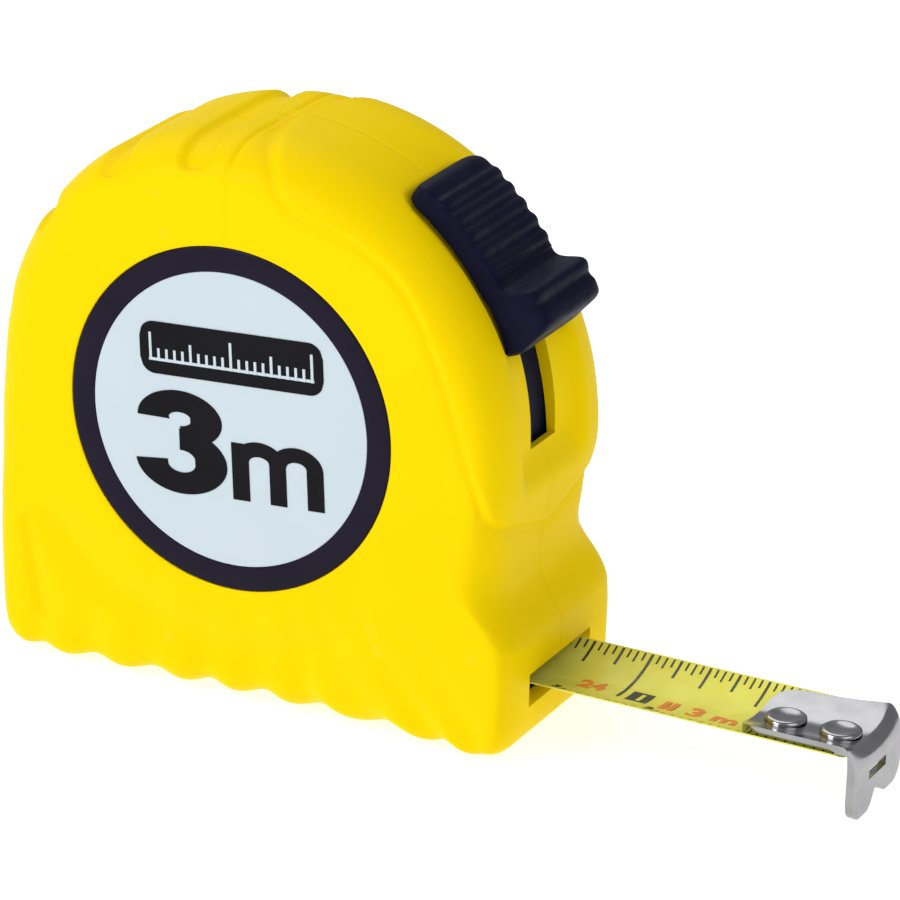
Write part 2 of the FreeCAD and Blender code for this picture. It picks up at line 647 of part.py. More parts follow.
# ---------------------------------------------------------------------- writing

def main():
    os.makedirs("parts", exist_ok=True)
    body = case_body()
    shell = body.cut([case_cavity(), mouth_cut()] + lock_cuts() + grip_cuts())
    pieces = {
        "case_left": case_half(shell, body, -1),
        "case_right": case_half(shell, body, 1),
        "front_label": front_label(),
        "case_screws": case_screws(),
        "blade_guide": blade_guide(),
        "arbor_post": arbor_post(),
        "drum_washers": drum_washers(),
        "belt_clip": belt_clip(),
        "clip_screw": clip_screw(),
        "reel_drum": reel_drum(),
        "drum_cover": drum_cover(),
        "power_spring": power_spring(),
        "blade_coil": blade_coil(),
        "blade_anchor": blade_anchor(),
        "blade_lead": blade_lead(),
        "blade_strip": blade_strip(),
        "hook_rivets": hook_rivets(),
        "end_hook": end_hook(),
        "thumb_lock": thumb_lock(),
        "lock_arm": lock_arm(),
        "brake_pad": brake_pad(),
    }
    for name, shape in pieces.items():
        shape.exportStep("parts/" + name + ".step")
        bounds = shape.BoundBox
        print(name, len(shape.Solids), "solids, valid", shape.isValid(), "volume",
              round(shape.Volume, 1), "x", round(bounds.XMin, 2), round(bounds.XMax, 2),
              "y", round(bounds.YMin, 2), round(bounds.YMax, 2),
              "z", round(bounds.ZMin, 2), round(bounds.ZMax, 2))


main()
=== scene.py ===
"""A pocket tape measure with a yellow moulded case, dressed over its fixed frame.

Lengths in the shape code are millimetres along the frame's own axes: X towards the
hook, Y across the case and Z up from the base. They become metres when a mesh is made.
"""

import logging
import math
from dataclasses import dataclass, field
from enum import Enum

import bmesh
import bpy
import numpy as np
from mathutils import Matrix, Vector


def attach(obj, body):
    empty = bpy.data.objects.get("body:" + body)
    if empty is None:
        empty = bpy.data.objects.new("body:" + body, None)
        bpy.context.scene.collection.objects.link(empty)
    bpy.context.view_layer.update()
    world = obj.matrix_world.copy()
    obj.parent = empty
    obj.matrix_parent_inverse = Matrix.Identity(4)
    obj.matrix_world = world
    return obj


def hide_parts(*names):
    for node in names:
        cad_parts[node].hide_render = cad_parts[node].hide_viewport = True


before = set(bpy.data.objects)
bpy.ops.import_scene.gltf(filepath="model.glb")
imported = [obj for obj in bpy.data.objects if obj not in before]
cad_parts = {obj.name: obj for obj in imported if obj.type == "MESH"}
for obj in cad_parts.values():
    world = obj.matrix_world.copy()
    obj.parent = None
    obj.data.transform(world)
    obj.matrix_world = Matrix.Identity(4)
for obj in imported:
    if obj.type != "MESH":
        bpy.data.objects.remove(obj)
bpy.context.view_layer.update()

LOG = logging.getLogger("tape")
MM = 0.001
REEL_Z = 30.4
SIDE_Y = 12.5
MERGE = 1e-7
EDGES = ((0, slice(None)), (-1, slice(None)), (slice(None), 0), (slice(None), -1))


# ------------------------------------------------------------------ shape helpers


def ramp(x: np.ndarray) -> np.ndarray:
    """Smooth step from 0 to 1: x held to 0..1, then three x squared less two x cubed."""
    t = np.clip(x, 0.0, 1.0)
    return t * t * (3 - 2 * t)


def through(points: np.ndarray, per_span: int, closed: bool = False) -> np.ndarray:
    """Smooth curve through points: cubic Hermite spans timed by the root of the chord.

    Args:
        points: The points in order, one a row.
        per_span: Samples on each span.
        closed: Whether the last point joins the first.

    Returns:
        The sampled curve, one point a row.
    """
    p = np.asarray(points, float)
    before = np.roll(p, 1, 0) if closed else np.vstack([2 * p[0] - p[1], p[:-1]])
    after = np.roll(p, -1, 0) if closed else np.vstack([p[1:], 2 * p[-1] - p[-2]])
    back = np.sqrt(np.linalg.norm(p - before, axis=1))[:, None]
    ahead = np.sqrt(np.linalg.norm(after - p, axis=1))[:, None]
    slope = ((after - p) / ahead * back + (p - before) / back * ahead) / (back + ahead)
    if not closed:
        p, after, ahead = p[:-1], after[:-1], ahead[:-1]
        next_slope = slope[1:]
        slope = slope[:-1]
    else:
        next_slope = np.roll(slope, -1, 0)
    t = (np.arange(per_span) / per_span)[None, :, None]
    a, b = p[:, None], after[:, None]
    da, db = (slope * ahead)[:, None], (next_slope * ahead)[:, None]
    curve = (
        a * (2 * t**3 - 3 * t**2 + 1)
        + b * (3 * t**2 - 2 * t**3)
        + da * (t**3 - 2 * t**2 + t)
        + db * (t**3 - t**2)
    ).reshape(-1, p.shape[1])
    return curve if closed else np.vstack([curve, points[-1:]])


def about_reel(radius: np.ndarray, degrees: np.ndarray, y: np.ndarray) -> np.ndarray:
    """Points at a radius and an angle about the reel axis, at y across the case."""
    turn = np.radians(degrees)
    x, z = radius * np.cos(turn), REEL_Z + radius * np.sin(turn)
    return np.stack(np.broadcast_arrays(x, y, z), -1)


def grid_normals(points: np.ndarray) -> np.ndarray:
    """Unit normals of a grid closed along its columns, turned away from the reel's middle.

    The normal is the cross product of the grid's two central differences.
    """
    padded = np.concatenate([points[:, -1:], points, points[:, :1]], 1)
    along = padded[:, 2:] - padded[:, :-2]
    down = np.gradient(points, axis=0)
    normal = np.cross(along, down)
    normal /= np.maximum(np.linalg.norm(normal, axis=-1, keepdims=True), 1e-9)
    outward = np.sum(normal * (points - (0.0, 0.0, REEL_Z)), -1, keepdims=True)
    return normal * np.sign(outward)


class Skin:
    """Points in millimetres and faces that together become one mesh."""

    def __init__(self) -> None:
        """Starts with nothing."""
        self.points: list[np.ndarray] = []
        self.faces: list[list[int]] = []
        self.size = 0

    def add(self, points: np.ndarray) -> np.ndarray:
        """Adds points and returns their numbers, in the same grid shape."""
        grid = np.asarray(points, float)
        numbers = self.size + np.arange(grid[..., 0].size).reshape(grid.shape[:-1])
        self.points.append(grid.reshape(-1, 3))
        self.size += grid[..., 0].size
        return numbers

    def quads(self, index: np.ndarray, wrap: bool = False, keep: np.ndarray | None = None) -> None:
        """Adds the faces between neighbouring rows and columns of a grid of numbers.

        Args:
            index: The grid of point numbers.
            wrap: Whether the last column joins the first.
            keep: Which cells get a face, or None for all.
        """
        g = np.concatenate([index, index[:, :1]], 1) if wrap else index
        cells = np.stack([g[:-1, :-1], g[:-1, 1:], g[1:, 1:], g[1:, :-1]], -1)
        self.faces += (cells.reshape(-1, 4) if keep is None else cells[keep]).tolist()

    def fan(self, ring: np.ndarray, tip: np.ndarray) -> None:
        """Closes a ring of point numbers onto a single point."""
        centre = int(self.add(np.asarray(tip, float)[None])[0])
        after = np.roll(ring, -1)
        self.faces += np.stack([ring, after, np.full_like(ring, centre)], -1).tolist()

    def walls(self, a: np.ndarray, b: np.ndarray) -> None:
        """Joins the four edges of two like grids of point numbers."""
        for edge in EDGES:
            self.quads(np.stack([a[edge], b[edge]]))

    def slab(self, top: np.ndarray, base: np.ndarray) -> None:
        """Adds the closed slab between two like grids of points."""
        a, b = self.add(top), self.add(base)
        self.quads(a)
        self.quads(b)
        self.walls(a, b)

    def tube(self, rings: np.ndarray, closed: bool = False) -> None:
        """Adds a skin of closed rings, joined end to end or capped at both ends."""
        index = self.add(rings)
        if closed:
            self.quads(np.concatenate([index, index[:1]], 0), wrap=True)
            return
        self.quads(index, wrap=True)
        self.fan(index[0], rings[0].mean(0))
        self.fan(index[-1], rings[-1].mean(0))

    def make(self, name: str, sharp: float = 40.0) -> bpy.types.Object:
        """Makes the mesh object, in metres, with faces turned outwards.

        Args:
            name: The piece's name.
            sharp: Edges bent by more than this many degrees stay crisp.

        Returns:
            The new object, at the origin.
        """
        mesh = bpy.data.meshes.new(name)
        mesh.from_pydata((np.concatenate(self.points) * MM).tolist(), [], self.faces)
        return finish_mesh(name, mesh, sharp)


def finish_mesh(name: str, mesh: bpy.types.Mesh, sharp: float) -> bpy.types.Object:
    """Merges doubles, turns faces outwards, smooths the mesh and links its object."""
    work = bmesh.new()
    work.from_mesh(mesh)
    bmesh.ops.remove_doubles(work, verts=work.verts, dist=MERGE)
    bmesh.ops.dissolve_degenerate(work, edges=work.edges, dist=MERGE)
    bmesh.ops.recalc_face_normals(work, faces=work.faces)
    work.to_mesh(mesh)
    work.free()
    mesh.polygons.foreach_set("use_smooth", np.ones(len(mesh.polygons), bool))
    mesh.set_sharp_from_angle(angle=math.radians(sharp))
    piece = bpy.data.objects.new(name, mesh)
    bpy.context.scene.collection.objects.link(piece)
    return piece


def bevel(piece: bpy.types.Object, width: float, segments: int) -> None:
    """Rounds the sharp edges of a piece by a width in millimetres."""
    mod = piece.modifiers.new("rounded", "BEVEL")
    mod.width, mod.segments = width * MM, segments
    mod.limit_method, mod.angle_limit = "ANGLE", math.radians(35)


def turned(profile: np.ndarray, centre: tuple[float, float], count: int = 96) -> np.ndarray:
    """Rings of a turned shape about a line along Y.

    Args:
        profile: Radius and y of each ring, in order.
        centre: X and Z of the axis.
        count: Points round each ring.

    Returns:
        The rings, one a row.
    """
    turn = 2 * math.pi * np.arange(count) / count
    radius, y = profile[:, :1], profile[:, 1:]
    x = centre[0] + radius * np.cos(turn)
    z = centre[1] + radius * np.sin(turn)
    return np.stack([x, np.broadcast_to(y, x.shape), z], -1)


# ----------------------------------------------------------------------- finishes


class Slot(str, Enum):
    """The record's material slots that the remade pieces use."""

    CASE = "case_yellow"
    LABEL = "label_print"
    LOCK = "lock_black"
    BLADE = "blade_paint"
    NICKEL = "hook_nickel"


@dataclass(frozen=True)
class Finish:
    """A finish with two close colours, a grain that is felt and uneven gloss.

    Colours are linear. Grain and mottle are sizes in millimetres, and relief is the
    grain's height in millimetres.
    """

    name: str
    colour: tuple[float, float, float]
    other: tuple[float, float, float]
    gloss: tuple[float, float]
    grain: float = 0.35
    relief: float = 0.01
    mottle: float = 9.0
    metallic: float = 0.0
    specular: float = 0.5
    brushed: tuple[float, float, float] = (1.0, 1.0, 1.0)
    scuffs: float = 0.0
    glow: float = 0.0

    def build(self) -> bpy.types.Material:
        """Makes the node material, once, and returns it.

        Returns:
            The material.
        """
        found = bpy.data.materials.get(self.name)
        if found:
            return found
        made = bpy.data.materials.new(self.name)
        made.use_nodes = True
        nodes, link = made.node_tree.nodes, made.node_tree.links.new

        def fill(node: bpy.types.Node, values: dict[str, object]) -> bpy.types.Node:
            """Sets a node's named inputs and returns the node."""
            for name, value in values.items():
                node.inputs[name].default_value = value
            return node

        shader = fill(nodes["Principled BSDF"], {
            "Metallic": self.metallic, "Specular IOR Level": self.specular,
            "Emission Color": (1, 1, 1, 1), "Emission Strength": self.glow})
        place = nodes.new("ShaderNodeTexCoord").outputs["Object"]
        stretch = fill(nodes.new("ShaderNodeMapping"), {"Scale": self.brushed})
        link(place, stretch.inputs["Vector"])

        def noise(
            size: float, detail: float, vector: bpy.types.NodeSocket
        ) -> bpy.types.NodeSocket:
            """Fractal noise whose features are about size millimetres across."""
            node = fill(nodes.new("ShaderNodeTexNoise"),
                        {"Scale": 1 / (size * MM), "Detail": detail})
            link(vector, node.inputs["Vector"])
            return node.outputs["Fac"]

        tint = nodes.new("ShaderNodeValToRGB")
        tint.color_ramp.elements[0].position, tint.color_ramp.elements[1].position = 0.3, 0.7
        tint.color_ramp.elements[0].color = (*self.colour, 1)
        tint.color_ramp.elements[1].color = (*self.other, 1)
        link(noise(self.mottle, 4, place), tint.inputs["Fac"])
        colour = tint.outputs["Color"]
        if self.scuffs:
            mask = fill(nodes.new("ShaderNodeMapRange"),
                        {"From Min": 0.66, "From Max": 0.74, "To Max": self.scuffs})
            link(noise(2.2, 9, stretch.outputs["Vector"]), mask.inputs["Value"])
            worn = nodes.new("ShaderNodeMix")
            worn.data_type = "RGBA"
            worn.inputs["B"].default_value = (*[min(1, 0.6 * c + 0.25) for c in self.colour], 1)
            link(mask.outputs["Result"], worn.inputs["Factor"])
            link(colour, worn.inputs["A"])
            colour = worn.outputs["Result"]
        link(colour, shader.inputs["Base Color"])
        sheen = fill(nodes.new("ShaderNodeMapRange"), {
            "From Min": 0.3, "From Max": 0.7, "To Min": self.gloss[0], "To Max": self.gloss[1]})
        link(noise(self.mottle / 3, 6, stretch.outputs["Vector"]), sheen.inputs["Value"])
        link(sheen.outputs["Result"], shader.inputs["Roughness"])
        bump = fill(nodes.new("ShaderNodeBump"), {"Strength": 1.0, "Distance": self.relief * MM})
        link(noise(self.grain, 3, stretch.outputs["Vector"]), bump.inputs["Height"])
        link(bump.outputs["Normal"], shader.inputs["Normal"])
        return made


YELLOW = Finish("moulded_yellow", (0.92, 0.655, 0.0), (0.94, 0.67, 0.0), (0.40, 0.50),
                relief=0.012, specular=0.03, scuffs=0.04)
# darker copy of the case yellow for the wells' cups: painted shade inside the screw wells
SHADED_WELL_YELLOW = Finish("painted_shade_well_yellow", (0.80, 0.50, 0.0), (0.85, 0.53, 0.0), (0.4, 0.5), specular=0.2)
NAVY = Finish("lock_navy", (0.003, 0.004, 0.018), (0.005, 0.006, 0.024), (0.42, 0.56),
              grain=0.25, relief=0.02, mottle=4.0, specular=0.07)
RING_INK = Finish("label_ring_ink", (0.012, 0.009, 0.020), (0.014, 0.011, 0.023), (0.3, 0.4),
                  grain=0.2, relief=0.002, specular=0.06)
DISC_PAPER = Finish("label_disc_film", (0.55, 0.64, 0.70), (0.57, 0.66, 0.72), (0.28, 0.36),
                    grain=0.15, relief=0.002, specular=0.1)
PRINT_INK = Finish("label_print_ink", (0.008, 0.008, 0.010), (0.010, 0.010, 0.013), (0.32, 0.4),
                   grain=0.15, relief=0.002, specular=0.05)
LACQUER = Finish("blade_lacquer", (0.74, 0.72, 0.09), (0.82, 0.80, 0.14), (0.2, 0.3),
                 grain=0.4, relief=0.003, mottle=3.0, specular=0.12, brushed=(0.25, 1.0, 1.0))
TICK_INK = Finish("blade_tick_ink", (0.022, 0.024, 0.006), (0.034, 0.036, 0.01), (0.3, 0.4),
                  grain=0.2, relief=0.002)
ORANGE_INK = Finish("blade_orange_ink", (0.80, 0.22, 0.02), (0.86, 0.27, 0.03), (0.3, 0.4),
                    grain=0.2, relief=0.002)
NICKEL = Finish("nickel_plate", (0.31, 0.31, 0.32), (0.37, 0.37, 0.38), (0.12, 0.22),
                grain=0.5, relief=0.004, mottle=2.5, metallic=1.0, brushed=(0.12, 1.0, 1.0))
STEEL = Finish("bright_steel", (0.52, 0.52, 0.53), (0.60, 0.60, 0.61), (0.2, 0.34),
               grain=0.3, relief=0.004, mottle=2.0, metallic=1.0)
BLUED = Finish("spring_blued", (0.20, 0.22, 0.27), (0.28, 0.30, 0.34), (0.22, 0.36),
               grain=0.3, relief=0.003, mottle=2.0, metallic=1.0, brushed=(1.0, 0.2, 1.0))
NYLON = Finish("inner_nylon", (0.055, 0.055, 0.06), (0.075, 0.075, 0.08), (0.4, 0.55),
               grain=0.3, relief=0.01)
RUBBER = Finish("pad_rubber", (0.012, 0.012, 0.012), (0.02, 0.02, 0.02), (0.7, 0.85),
                grain=0.2, relief=0.02, specular=0.3)


def dress(piece: bpy.types.Object, finish: Finish, body: str,
          replaced: tuple[str, ...] = ()) -> bpy.types.Object:
    """Gives a piece its finish, its body and the nodes that it stands for.

    Args:
        piece: The new object.
        finish: Its finish.
        body: The body that it rides on.
        replaced: The frame's nodes that it replaces.

    Returns:
        The same object.
    """
    piece.data.materials.clear()
    piece.data.materials.append(finish.build())
    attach(piece, body)
    if replaced:
        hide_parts(*replaced)
    LOG.info("%s rides on %s", piece.name, body)
    return piece


# ----------------------------------------------------------------------------- case


class Side(Enum):
    """The two halves of the case, by the sign of their Y."""

    LABEL = -1
    CLIP = 1


@dataclass
class Case:
    """Two moulded halves: outline, rounded shoulders, brow, grips, mouth and lock slot."""

    wall: float = 1.8
    half_cavity: float = 10.7
    columns: int = 500
    shoulder_rows: int = 36
    side_rows: int = 32
    recess_radius: float = 17.8
    recess_y: float = 12.0
    slot_half: float = 2.7
    slot_ends: tuple[float, float] = (-1.0, 52.5)
    mouth_half: float = 7.0
    mouth_z: tuple[float, float] = (4.74, 8.24)
    mouth_x: float = 30.9
    bed_radius: float = 28.0
    bed_half: float = 6.55
    bed_ends: tuple[float, float] = (-9.0, 58.3)
    bed_crisp_from: float = 21.0
    bed_round_from: float = 53.6
    bed_round: float = 2.2
    brow_height: float = 0.5
    # angle of each grip over the crown, and how far it reaches from the rim's middle
    grips: tuple[tuple[float, float], ...] = (
        (100.8, 15.3), (121.5, 14.3), (143.0, 13.4), (166.0, 12.6))
    grip_half: float = 2.1
    grip_depth: float = 0.75
    crease_depth: float = 0.26
    flute_depth: float = 0.55
    valley_radius: float = 24.6
    valley_depth: float = 0.75
    notch_z: float = 18.45
    notch_depth: float = 0.55
    heel_groove: tuple[tuple[float, float], ...] = ((-23.1, 14.8), (-21.3, 5.3))
    heel_depth: float = 0.4
    parting_depth: float = 0.04
    lobes: tuple[float, ...] = (-26, -19, -12.4, -5.6, 0.2, 6.5, 14, 21.9, 27.2, 33)
    well_radius: float = 1.75
    wells: tuple[tuple[float, float, float], ...] = (
        (-21.6, 11.8, 8.5), (26.0, 12.5, 8.5), (-10.128, 53.147, 5.0))
    rim_y: tuple[float, ...] = (
        0.02, 0.12, 0.3, 0.7, 1.3, 1.9, 2.4, 2.58, 2.7, 2.86, 3.2, 3.8, 4.4, 5.0, 5.5, 5.8, 6.0,
        6.15, 6.3, 6.5, 6.8, 7.2, 7.6, 7.95, 8.18, 8.3, 8.45, 8.7)
    lower: tuple[tuple[float, float], ...] = (
        (-28.1, 27.5), (-28.08, 22), (-27.95, 17), (-27.6, 11), (-27.2, 6.5), (-26.85, 3.4),
        (-26.3, 1.6), (-25.1, 0.45), (-22.8, 0.07), (-12, 0), (0, 0), (12, 0), (24, 0),
        (27.4, 0.06), (29.2, 0.5), (30.35, 1.5), (30.84, 3.1), (30.9, 4.74), (30.9, 6.5),
        (30.9, 8.24), (30.9, 10.4), (30.86, 11.9), (30.2, 13.35), (29.15, 14.85),
        (28.45, 16.3), (28.25, 18.0), (28.45, 21.2))
    upper: tuple[tuple[float, float], ...] = (
        (-12, 29.2), (-6.6, 29.15), (0, 28.9), (10.6, 28.6), (20, 28.4), (30, 28.2),
        (45, 28.0), (60, 27.95), (75, 27.9), (90, 27.9), (102, 28.1), (115, 28.5), (128, 28.8),
        (140, 28.75), (152, 28.45), (164, 28.2))
    brow_edge: tuple[tuple[float, float], ...] = (
        (-24, -14), (-17.2, 0), (-13.7, 6.2), (-10.6, 11.4), (-3.9, 14), (8, 15.5),
        (25.5, 15.7), (36.5, 15.1), (47, 14.8), (59, 15.6), (67.5, 16.4), (74, 16.3),
        (78.6, 15.0), (82.4, 11.6), (85.7, 7.55), (88.4, 1.5), (92, -12))
    # angle, shoulder depth, flat half width and roundness of the section there
    sections: tuple[tuple[float, float, float, float], ...] = (
        (-160, 4.6, 4.5, 2.3), (-138, 3.6, 6.6, 2.3), (-118, 3.2, 7.4, 2.4), (-100, 3.6, 6.8, 2.3),
        (-80, 4.2, 6, 2.3), (-60, 4.5, 6, 2.3), (-50, 3.6, 7.2, 2.5), (-45, 2.7, 8.1, 2.8),
        (-32.5, 2.2, 8.4, 3),
        (-29, 3.4, 7.0, 2.4), (-25, 4.6, 5.5, 2.3), (-18, 3.8, 6, 2.3), (-8, 3.0, 7.2, 2.4),
        (5, 3.2, 6.8, 2.4), (25, 3.7, 6.0, 2.3), (50, 4.2, 5.6, 2.3), (75, 4.3, 5.4, 2.3),
        (120, 4.5, 5.0, 2.3), (150, 4.8, 4.6, 2.3), (180, 4.8, 4.4, 2.3))
    angle: np.ndarray = field(init=False)
    exact: np.ndarray = field(init=False)
    edge: np.ndarray = field(init=False)

    def __post_init__(self) -> None:
        """Works out the columns: their angles and their points on the outline.

        The columns are evenly spaced along the outline, with exact ones at the ends of
        the lock slot and at the lips of the mouth.
        """
        lower = np.array(self.lower)
        turns, radii = np.radians([a for a, _ in self.upper]), np.array([r for _, r in self.upper])
        upper = np.stack([radii * np.cos(turns), REEL_Z + radii * np.sin(turns)], -1)
        line = through(np.vstack([lower, upper]), 40, closed=True)
        turn = np.degrees(np.arctan2(line[:, 1] - REEL_Z, line[:, 0]))
        order = np.argsort(turn)
        line, turn = line[order], turn[order]
        steps = np.linalg.norm(np.diff(np.vstack([line, line[:1]]), axis=0), axis=1)
        reach = np.concatenate([[0], np.cumsum(steps)])
        even = np.interp(np.arange(self.columns) / self.columns * reach[-1], reach,
                         np.append(turn, turn[0] + 360))
        exact = np.array(list(self.slot_ends) + [
            math.degrees(math.atan2(z - REEL_Z, self.mouth_x)) for z in self.mouth_z])
        clear = np.abs(even[:, None] - exact).min(1) > 0.3
        self.angle = np.sort(np.concatenate([even[clear], exact]))
        self.exact = exact
        radius = np.hypot(line[:, 0], line[:, 1] - REEL_Z)
        self.edge = np.interp(self.angle, turn, radius, period=360)

    def section(self) -> tuple[np.ndarray, np.ndarray, np.ndarray]:
        """Shoulder depth, flat half width and roundness at every column, blurred a little."""
        table = np.array(self.sections)
        spread = np.linspace(-3.0, 3.0, 7)
        return tuple(
            np.mean([np.interp(self.angle + s, table[:, 0], table[:, k], period=360)
                     for s in spread], 0) for k in (1, 2, 3))

    def skin_section(self, half: float) -> tuple[np.ndarray, np.ndarray]:
        """Sag of the rim and y of its rows, from the parting line to the flat side.

        The sag is b(1 - (1 - t^n)^(1/n)), where t runs from 0 at the flat's edge to 1 at
        the side. The shoulder's rows are even in the angle of that superellipse.

        Args:
            half: Y of the flat side.

        Returns:
            The sag and y, each rows by columns.
        """
        depth, flat, power = self.section()
        flat = np.minimum(flat * half / SIDE_Y, 8.4)
        y = np.array(self.rim_y)[:, None] + 0 * depth
        t = np.clip((y - flat) / (half - flat), 0, 1)
        sag = depth * (1 - (1 - t**power) ** (1 / power))
        start = np.arcsin(np.clip(t[-1], 0, 1) ** (power / 2))
        share = (np.arange(1, self.shoulder_rows + 1) / self.shoulder_rows)[:, None]
        phi = start + (np.pi / 2 - start) * share
        round_y = flat + (half - flat) * np.sin(phi) ** (2 / power)
        round_sag = depth * (1 - np.clip(np.cos(phi), 0, 1) ** (2 / power))
        return np.vstack([sag, round_sag]), np.vstack([y, round_y])

    def relief(
        self, x: np.ndarray, z: np.ndarray, y: np.ndarray, across: np.ndarray
    ) -> np.ndarray:
        """Height of the moulded detail over the plain skin.

        It adds a raised brow inside its edge line, grip and finger grooves, a soft valley
        round the label's lower side, a notch and a groove at the heel and a parting line.

        Args:
            x: X of each point.
            z: Z of each point.
            y: Distance of each point from the parting plane.
            across: How far each point is from the rim's middle, along the section.

        Returns:
            The height at each point.
        """
        line = through(np.array(self.brow_edge), 16)
        edge = np.interp(self.angle, line[:, 0], line[:, 1], left=-30, right=-30)
        along = np.radians(self.angle) * self.edge
        distance = (edge - across) / np.sqrt(1 + np.gradient(edge, along) ** 2)
        height = self.brow_height * ramp(distance / 0.9 + 0.5)
        crease = np.exp(-((distance + 0.6) / 0.55) ** 2) * (edge > -12)
        height -= self.crease_depth * crease
        for angle, reach in self.grips:
            sideways = np.radians(self.angle - angle) * self.edge
            past = np.maximum(across - (reach - self.grip_half), 0)
            height -= self.grip_depth * ramp((self.grip_half - np.hypot(sideways, past)) / 0.9)
        slanted = x + 0.8 * z * ramp((x - 4) / 10)
        phase = np.interp(slanted, self.lobes, np.arange(len(self.lobes)))
        wave = 0.5 - 0.5 * np.cos(2 * np.pi * phase)
        low = ramp((7.5 - z) / 6) + 0.35 * ramp((15 - z) / 8)
        low = low * ramp((y - 5) / 4) * ramp((29.3 - x) / 2.5) * ramp((x + 24) / 3)
        height -= self.flute_depth * wave * low
        radius = np.hypot(x, z - REEL_Z)
        side = ramp((across - 13) / 3)
        window = ramp((self.angle + 152) / 16) * ramp((-52 - self.angle) / 16)
        valley = np.exp(-((radius - self.valley_radius) / 2.2) ** 2)
        height -= self.valley_depth * valley * window * side
        rear = (x < -20) * ramp((12.5 - across) / 3)
        height -= self.notch_depth * np.exp(-((z - self.notch_z) / 0.4) ** 2) * rear
        start, end = (np.array(point) for point in self.heel_groove)
        span = end - start
        t = np.clip(((x - start[0]) * span[0] + (z - start[1]) * span[1]) / (span @ span), 0, 1)
        gap = np.hypot(x - start[0] - t * span[0], z - start[1] - t * span[1])
        height -= self.heel_depth * ramp((0.95 - gap) / 0.7) * side
        return height - self.parting_depth * ramp((0.2 - y) / 0.15)

    def outer(self, side: Side) -> np.ndarray:
        """Grid of the outer skin, with the lock's bed cut to its radius.

        Args:
            side: Which half.

        Returns:
            The points, rows by columns.
        """
        sag, y = self.skin_section(SIDE_Y)
        depth = self.section()[0]
        share = (np.arange(1, self.side_rows + 1) / self.side_rows)[:, None]
        flat_radius = (self.edge - depth) + share * (self.recess_radius + 0.12 - self.edge + depth)
        radius = np.vstack([self.edge - sag, flat_radius])
        y = np.vstack([y, np.full_like(flat_radius, SIDE_Y)])
        plain = about_reel(radius, self.angle, y)
        across = y + self.edge - radius
        height = self.relief(plain[..., 0], plain[..., 2], y, across)
        points = plain + grid_normals(plain) * height[..., None]
        reach = np.hypot(points[..., 0], points[..., 2] - REEL_Z)
        low, high = self.bed_ends
        crisp = 0.3
        soft = crisp + 1.6 * ramp((self.bed_crisp_from - self.angle) / 3)
        end = np.clip((self.angle - self.bed_round_from) / (high - self.bed_round_from), 0, 1)
        half = self.bed_half - self.bed_round * (1 - np.sqrt(1 - end**2.4))
        bed = (ramp((half + 0.15 + 0.35 * (soft - crisp) - points[..., 1]) / soft)
               * ramp((self.angle - low) / 9.0) * ramp((high - self.angle) / 0.7))
        cut = np.where(reach > self.bed_radius, self.bed_radius / reach, 1.0)
        scale = 1 + (cut - 1) * bed
        points[..., 0] *= scale
        points[..., 2] = REEL_Z + (points[..., 2] - REEL_Z) * scale
        points[..., 1] *= side.value
        return points

    def inner(self, side: Side) -> np.ndarray:
        """Grid of the cavity: the outline moved in along its normals by the wall."""
        sag, y = self.skin_section(self.half_cavity)
        line = about_reel(self.edge, self.angle, 0 * self.edge)
        tangent = np.roll(line, -1, 0) - np.roll(line, 1, 0)
        normal = np.stack([tangent[:, 2], 0 * self.edge, -tangent[:, 0]], -1)
        normal /= np.linalg.norm(normal, axis=1, keepdims=True)
        line = line - normal * self.wall
        turn = np.radians(self.angle)
        inward = np.stack([np.cos(turn), 0 * turn, np.sin(turn)], -1)
        points = line - sag[..., None] * inward
        points[..., 1] = y * side.value
        return points

    def half(self, side: Side) -> bpy.types.Object:
        """Builds one half as a closed skin with its mouth and lock slot open.

        Args:
            side: Which half.

        Returns:
            The half's object.
        """
        skin = Skin()
        outer, inner = self.outer(side), self.inner(side)
        rim = np.array(self.rim_y)
        out, into = skin.add(outer), skin.add(inner)
        gaps = []
        for half_width, (low, high) in (
                (self.slot_half, self.exact[:2]), (self.mouth_half, self.exact[2:])):
            rows = int(np.argmin(np.abs(rim - half_width)))
            first, last = (int(np.argmin(np.abs(self.angle - a))) for a in (low, high))
            gaps.append((rows, first, last))

        def solid(rows: int) -> np.ndarray:
            """Cells of a grid with this many rows of cells that aren't in an opening."""
            keep = np.ones((rows, len(self.angle)), bool)
            for until, first, last in gaps:
                keep[:until, first:last] = False
            return keep

        skin.quads(out, wrap=True, keep=solid(len(out) - 1))
        skin.quads(into, wrap=True, keep=solid(len(into) - 1))
        skin.quads(np.stack([out[0], into[0]]), wrap=True, keep=solid(1))
        for until, first, last in gaps:
            across = slice(first, last + 1)
            skin.quads(np.stack([out[until, across], into[until, across]]))
            for end in (first, last):
                skin.quads(np.stack([out[:until + 1, end], into[:until + 1, end]]))
        floor_y, rim_r = self.recess_y, self.recess_radius
        ring_y = side.value * np.array([SIDE_Y - 0.1, floor_y + 0.03, floor_y, floor_y])
        ring_r = np.array([rim_r, rim_r, rim_r - 0.06, 9.0])
        if side is Side.CLIP:
            ring_y = np.full(4, SIDE_Y)
            ring_r = np.array([17.0, 15.0, 12.0, 6.0])
        rings = about_reel(ring_r[:, None], self.angle, ring_y[:, None])
        floor = skin.add(rings)
        skin.quads(np.vstack([out[-1:], floor]), wrap=True)
        skin.fan(floor[-1], (0, ring_y[-1], REEL_Z))
        skin.fan(into[-1], (0, side.value * self.half_cavity, REEL_Z))
        name = "case_half_label" if side is Side.LABEL else "case_half_clip"
        return skin.make(name, 50)

